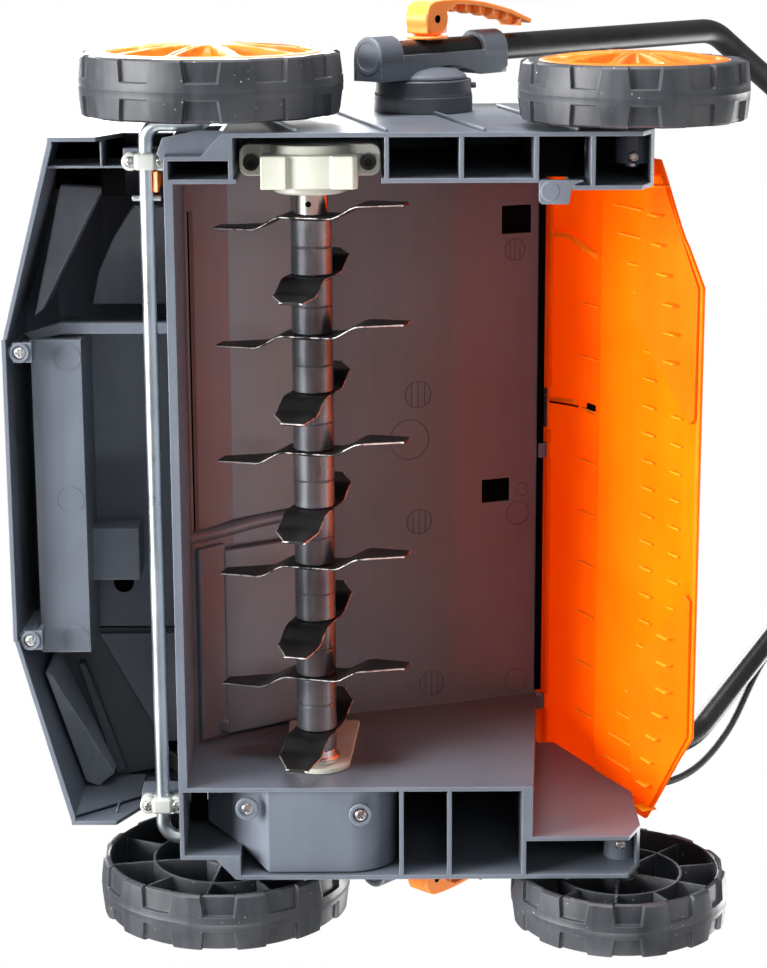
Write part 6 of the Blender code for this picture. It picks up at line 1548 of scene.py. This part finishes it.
# Each lamp: its place, size and share of the lamp power
LAMPS = [("key", (0.4, -2.4, -1.2), 1.6, 1.22), ("near", (0.9, 0.2, -2.0), 1.3, 0.04),
         ("rear", (-0.3, 2.4, -1.1), 1.4, 0.16), ("left", (2.5, -0.4, -0.2), 1.5, 0.66),
         ("right", (-2.4, -0.3, -0.9), 1.4, 0.38), ("above", (0.6, -1.2, 2.7), 1.8, 0.50),
         ("above_rear", (-0.9, 1.9, 2.2), 1.8, 0.35)]
LAMP_TARGET = (0, -0.1, 0.12)

# The floor: half its size, how far it lies under the wheels, and where it starts and ends to fade
FLOOR_HALF = 12.0
FLOOR_DROP = 0.0008
FLOOR_FADE = (0.9, 2.2)
FLOOR_TONES = ((0.80, 0.80, 0.80), (0.83, 0.83, 0.83))


def make_camera():
    """Looks up at the underside, its top to the machine's left, from the place that fits the photograph."""
    ahead = np.array([-sin(CAMERA_PITCH), 0, cos(CAMERA_PITCH)])
    up = np.array([cos(CAMERA_PITCH), 0, sin(CAMERA_PITCH)])
    right = np.cross(ahead, up)
    turn = np.column_stack([right * cos(CAMERA_ROLL) + up * sin(CAMERA_ROLL),
                            up * cos(CAMERA_ROLL) - right * sin(CAMERA_ROLL), -ahead])
    matrix = np.eye(4)
    matrix[:3, :3] = turn
    matrix[:3, 3] = CAMERA_AT
    camera = bpy.data.objects.new("camera", bpy.data.cameras.new("camera"))
    bpy.context.scene.collection.objects.link(camera)
    camera.matrix_world = Matrix((DECK @ matrix).tolist())
    camera.data.lens = CAMERA_LENS
    camera.data.sensor_width = SENSOR
    camera.data.clip_start = 0.05
    bpy.context.scene.camera = camera


def add_lamp(name, place, size, power):
    data = bpy.data.lights.new(name, "AREA")
    data.shape = "DISK"
    data.size = size
    data.energy = power
    lamp = bpy.data.objects.new(name, data)
    bpy.context.scene.collection.objects.link(lamp)
    lamp.location = place
    lamp.rotation_euler = (Vector(LAMP_TARGET) - Vector(place)).to_track_quat("-Z", "Y").to_euler()


def make_world():
    """White to the camera, dimmer in reflections and as plain light."""
    world = bpy.data.worlds.new("studio")
    world.use_nodes = True
    tree = world.node_tree
    tree.nodes.clear()
    looks = bpy.context.scene.aerator_looks
    path = node(tree, "ShaderNodeLightPath")
    seen = math_node(tree, "MAXIMUM", path.outputs["Is Camera Ray"], path.outputs["Is Transmission Ray"])
    plain = span(tree, path.outputs["Is Glossy Ray"], 0.0, 1.0, looks.fill_light, looks.mirror_light)
    hidden = math_node(tree, "SUBTRACT", 1.0, seen)
    background = node(tree, "ShaderNodeBackground")
    background.inputs["Color"].default_value = (1, 1, 1, 1)
    tree.links.new(math_node(tree, "ADD", seen, math_node(tree, "MULTIPLY", plain, hidden)),
                   background.inputs["Strength"])
    out = node(tree, "ShaderNodeOutputWorld")
    tree.links.new(background.outputs["Background"], out.inputs["Surface"])
    bpy.context.scene.world = world


def make_floor():
    """A pale floor at the wheels, seen from above only, that lets light and the view from below through."""
    half = FLOOR_HALF
    mesh = bpy.data.meshes.new("floor")
    mesh.from_pydata([(-half, -half, 0), (half, -half, 0), (half, half, 0), (-half, half, 0)], [],
                     [(0, 1, 2, 3)])
    floor = bpy.data.objects.new("floor", mesh)
    bpy.context.scene.collection.objects.link(floor)
    floor.location.z = -FLOOR_DROP
    material, tree, shader = new_material("floor")
    shader.inputs["Roughness"].default_value = 0.9
    place = node(tree, "ShaderNodeTexCoord").outputs["Object"]
    tone = span(tree, noise(tree, place, 3.0), 0.3, 0.7)
    tree.links.new(mixed(tree, tone, *FLOOR_TONES), shader.inputs["Base Color"])
    path = node(tree, "ShaderNodeLightPath")
    away = node(tree, "ShaderNodeVectorMath", operation="LENGTH")
    tree.links.new(place, away.inputs[0])
    through = node(tree, "ShaderNodeNewGeometry").outputs["Backfacing"]
    for other in (path.outputs["Is Shadow Ray"], path.outputs["Is Diffuse Ray"],
                  span(tree, away.outputs["Value"], *FLOOR_FADE)):
        through = math_node(tree, "MAXIMUM", through, other, clamp=True)
    clear = node(tree, "ShaderNodeBsdfTransparent")
    two_shaders(tree, through, shader.outputs["BSDF"], clear.outputs["BSDF"])
    mesh.materials.append(material)


class AERATOR_OT_stage(bpy.types.Operator):
    """Makes the camera, the lamps, the world and the floor"""
    bl_idname = "aerator.stage"
    bl_label = "Stage"

    def execute(self, context):
        context.scene.view_settings.view_transform = "Standard"
        make_world()
        make_floor()
        make_camera()
        for name, place, size, share in LAMPS:
            add_lamp(name, place, size, context.scene.aerator_looks.lamp_power * share)
        return {"FINISHED"}


# Settings, panel and registering

class AERATOR_looks(bpy.types.PropertyGroup):
    """Colours and lights that a user would change"""
    deck_colour: FloatVectorProperty(name="Deck colour", description="Moulded deck and hood", subtype="COLOR",
                                     default=(0.098, 0.112, 0.138), min=0, max=1)
    orange_colour: FloatVectorProperty(name="Accent colour", description="Wheel caps, height lever and bail",
                                       subtype="COLOR", default=(1.0, 0.16, 0.001), min=0, max=1)
    lamp_power: FloatProperty(name="Lamp power", description="Every lamp takes a share of it",
                              default=185.0, min=0, unit="POWER")
    fill_light: FloatProperty(name="Fill light", description="Strength of the world's plain light",
                              default=0.17, min=0)
    mirror_light: FloatProperty(name="Mirror light", description="Strength of the world in reflections",
                                default=0.28, min=0)


OPERATORS = [AERATOR_OT_finishes, AERATOR_OT_wheels, AERATOR_OT_roller, AERATOR_OT_fittings,
             AERATOR_OT_inside, AERATOR_OT_axle, AERATOR_OT_flap, AERATOR_OT_handle,
             AERATOR_OT_cables, AERATOR_OT_stage]


class AERATOR_PT_looks(bpy.types.Panel):
    """Lists the settings and the operators"""
    bl_idname = "AERATOR_PT_looks"
    bl_label = "Lawn aerator"
    bl_space_type = "VIEW_3D"
    bl_region_type = "UI"
    bl_category = "Aerator"

    def draw(self, context):
        looks = context.scene.aerator_looks
        for name in looks.bl_rna.properties.keys():
            if name not in ("rna_type", "name"):
                self.layout.prop(looks, name)
        for operator in OPERATORS:
            self.layout.operator(operator.bl_idname)


def register():
    for made in (AERATOR_looks, *OPERATORS, AERATOR_PT_looks):
        bpy.utils.register_class(made)
    bpy.types.Scene.aerator_looks = PointerProperty(type=AERATOR_looks)


def unregister():
    del bpy.types.Scene.aerator_looks
    for made in (AERATOR_PT_looks, *reversed(OPERATORS), AERATOR_looks):
        bpy.utils.unregister_class(made)


def main():
    register()
    for operator in OPERATORS:
        group, name = operator.bl_idname.split(".")
        getattr(getattr(bpy.ops, group), name)()


if __name__ == "__main__":
    main()
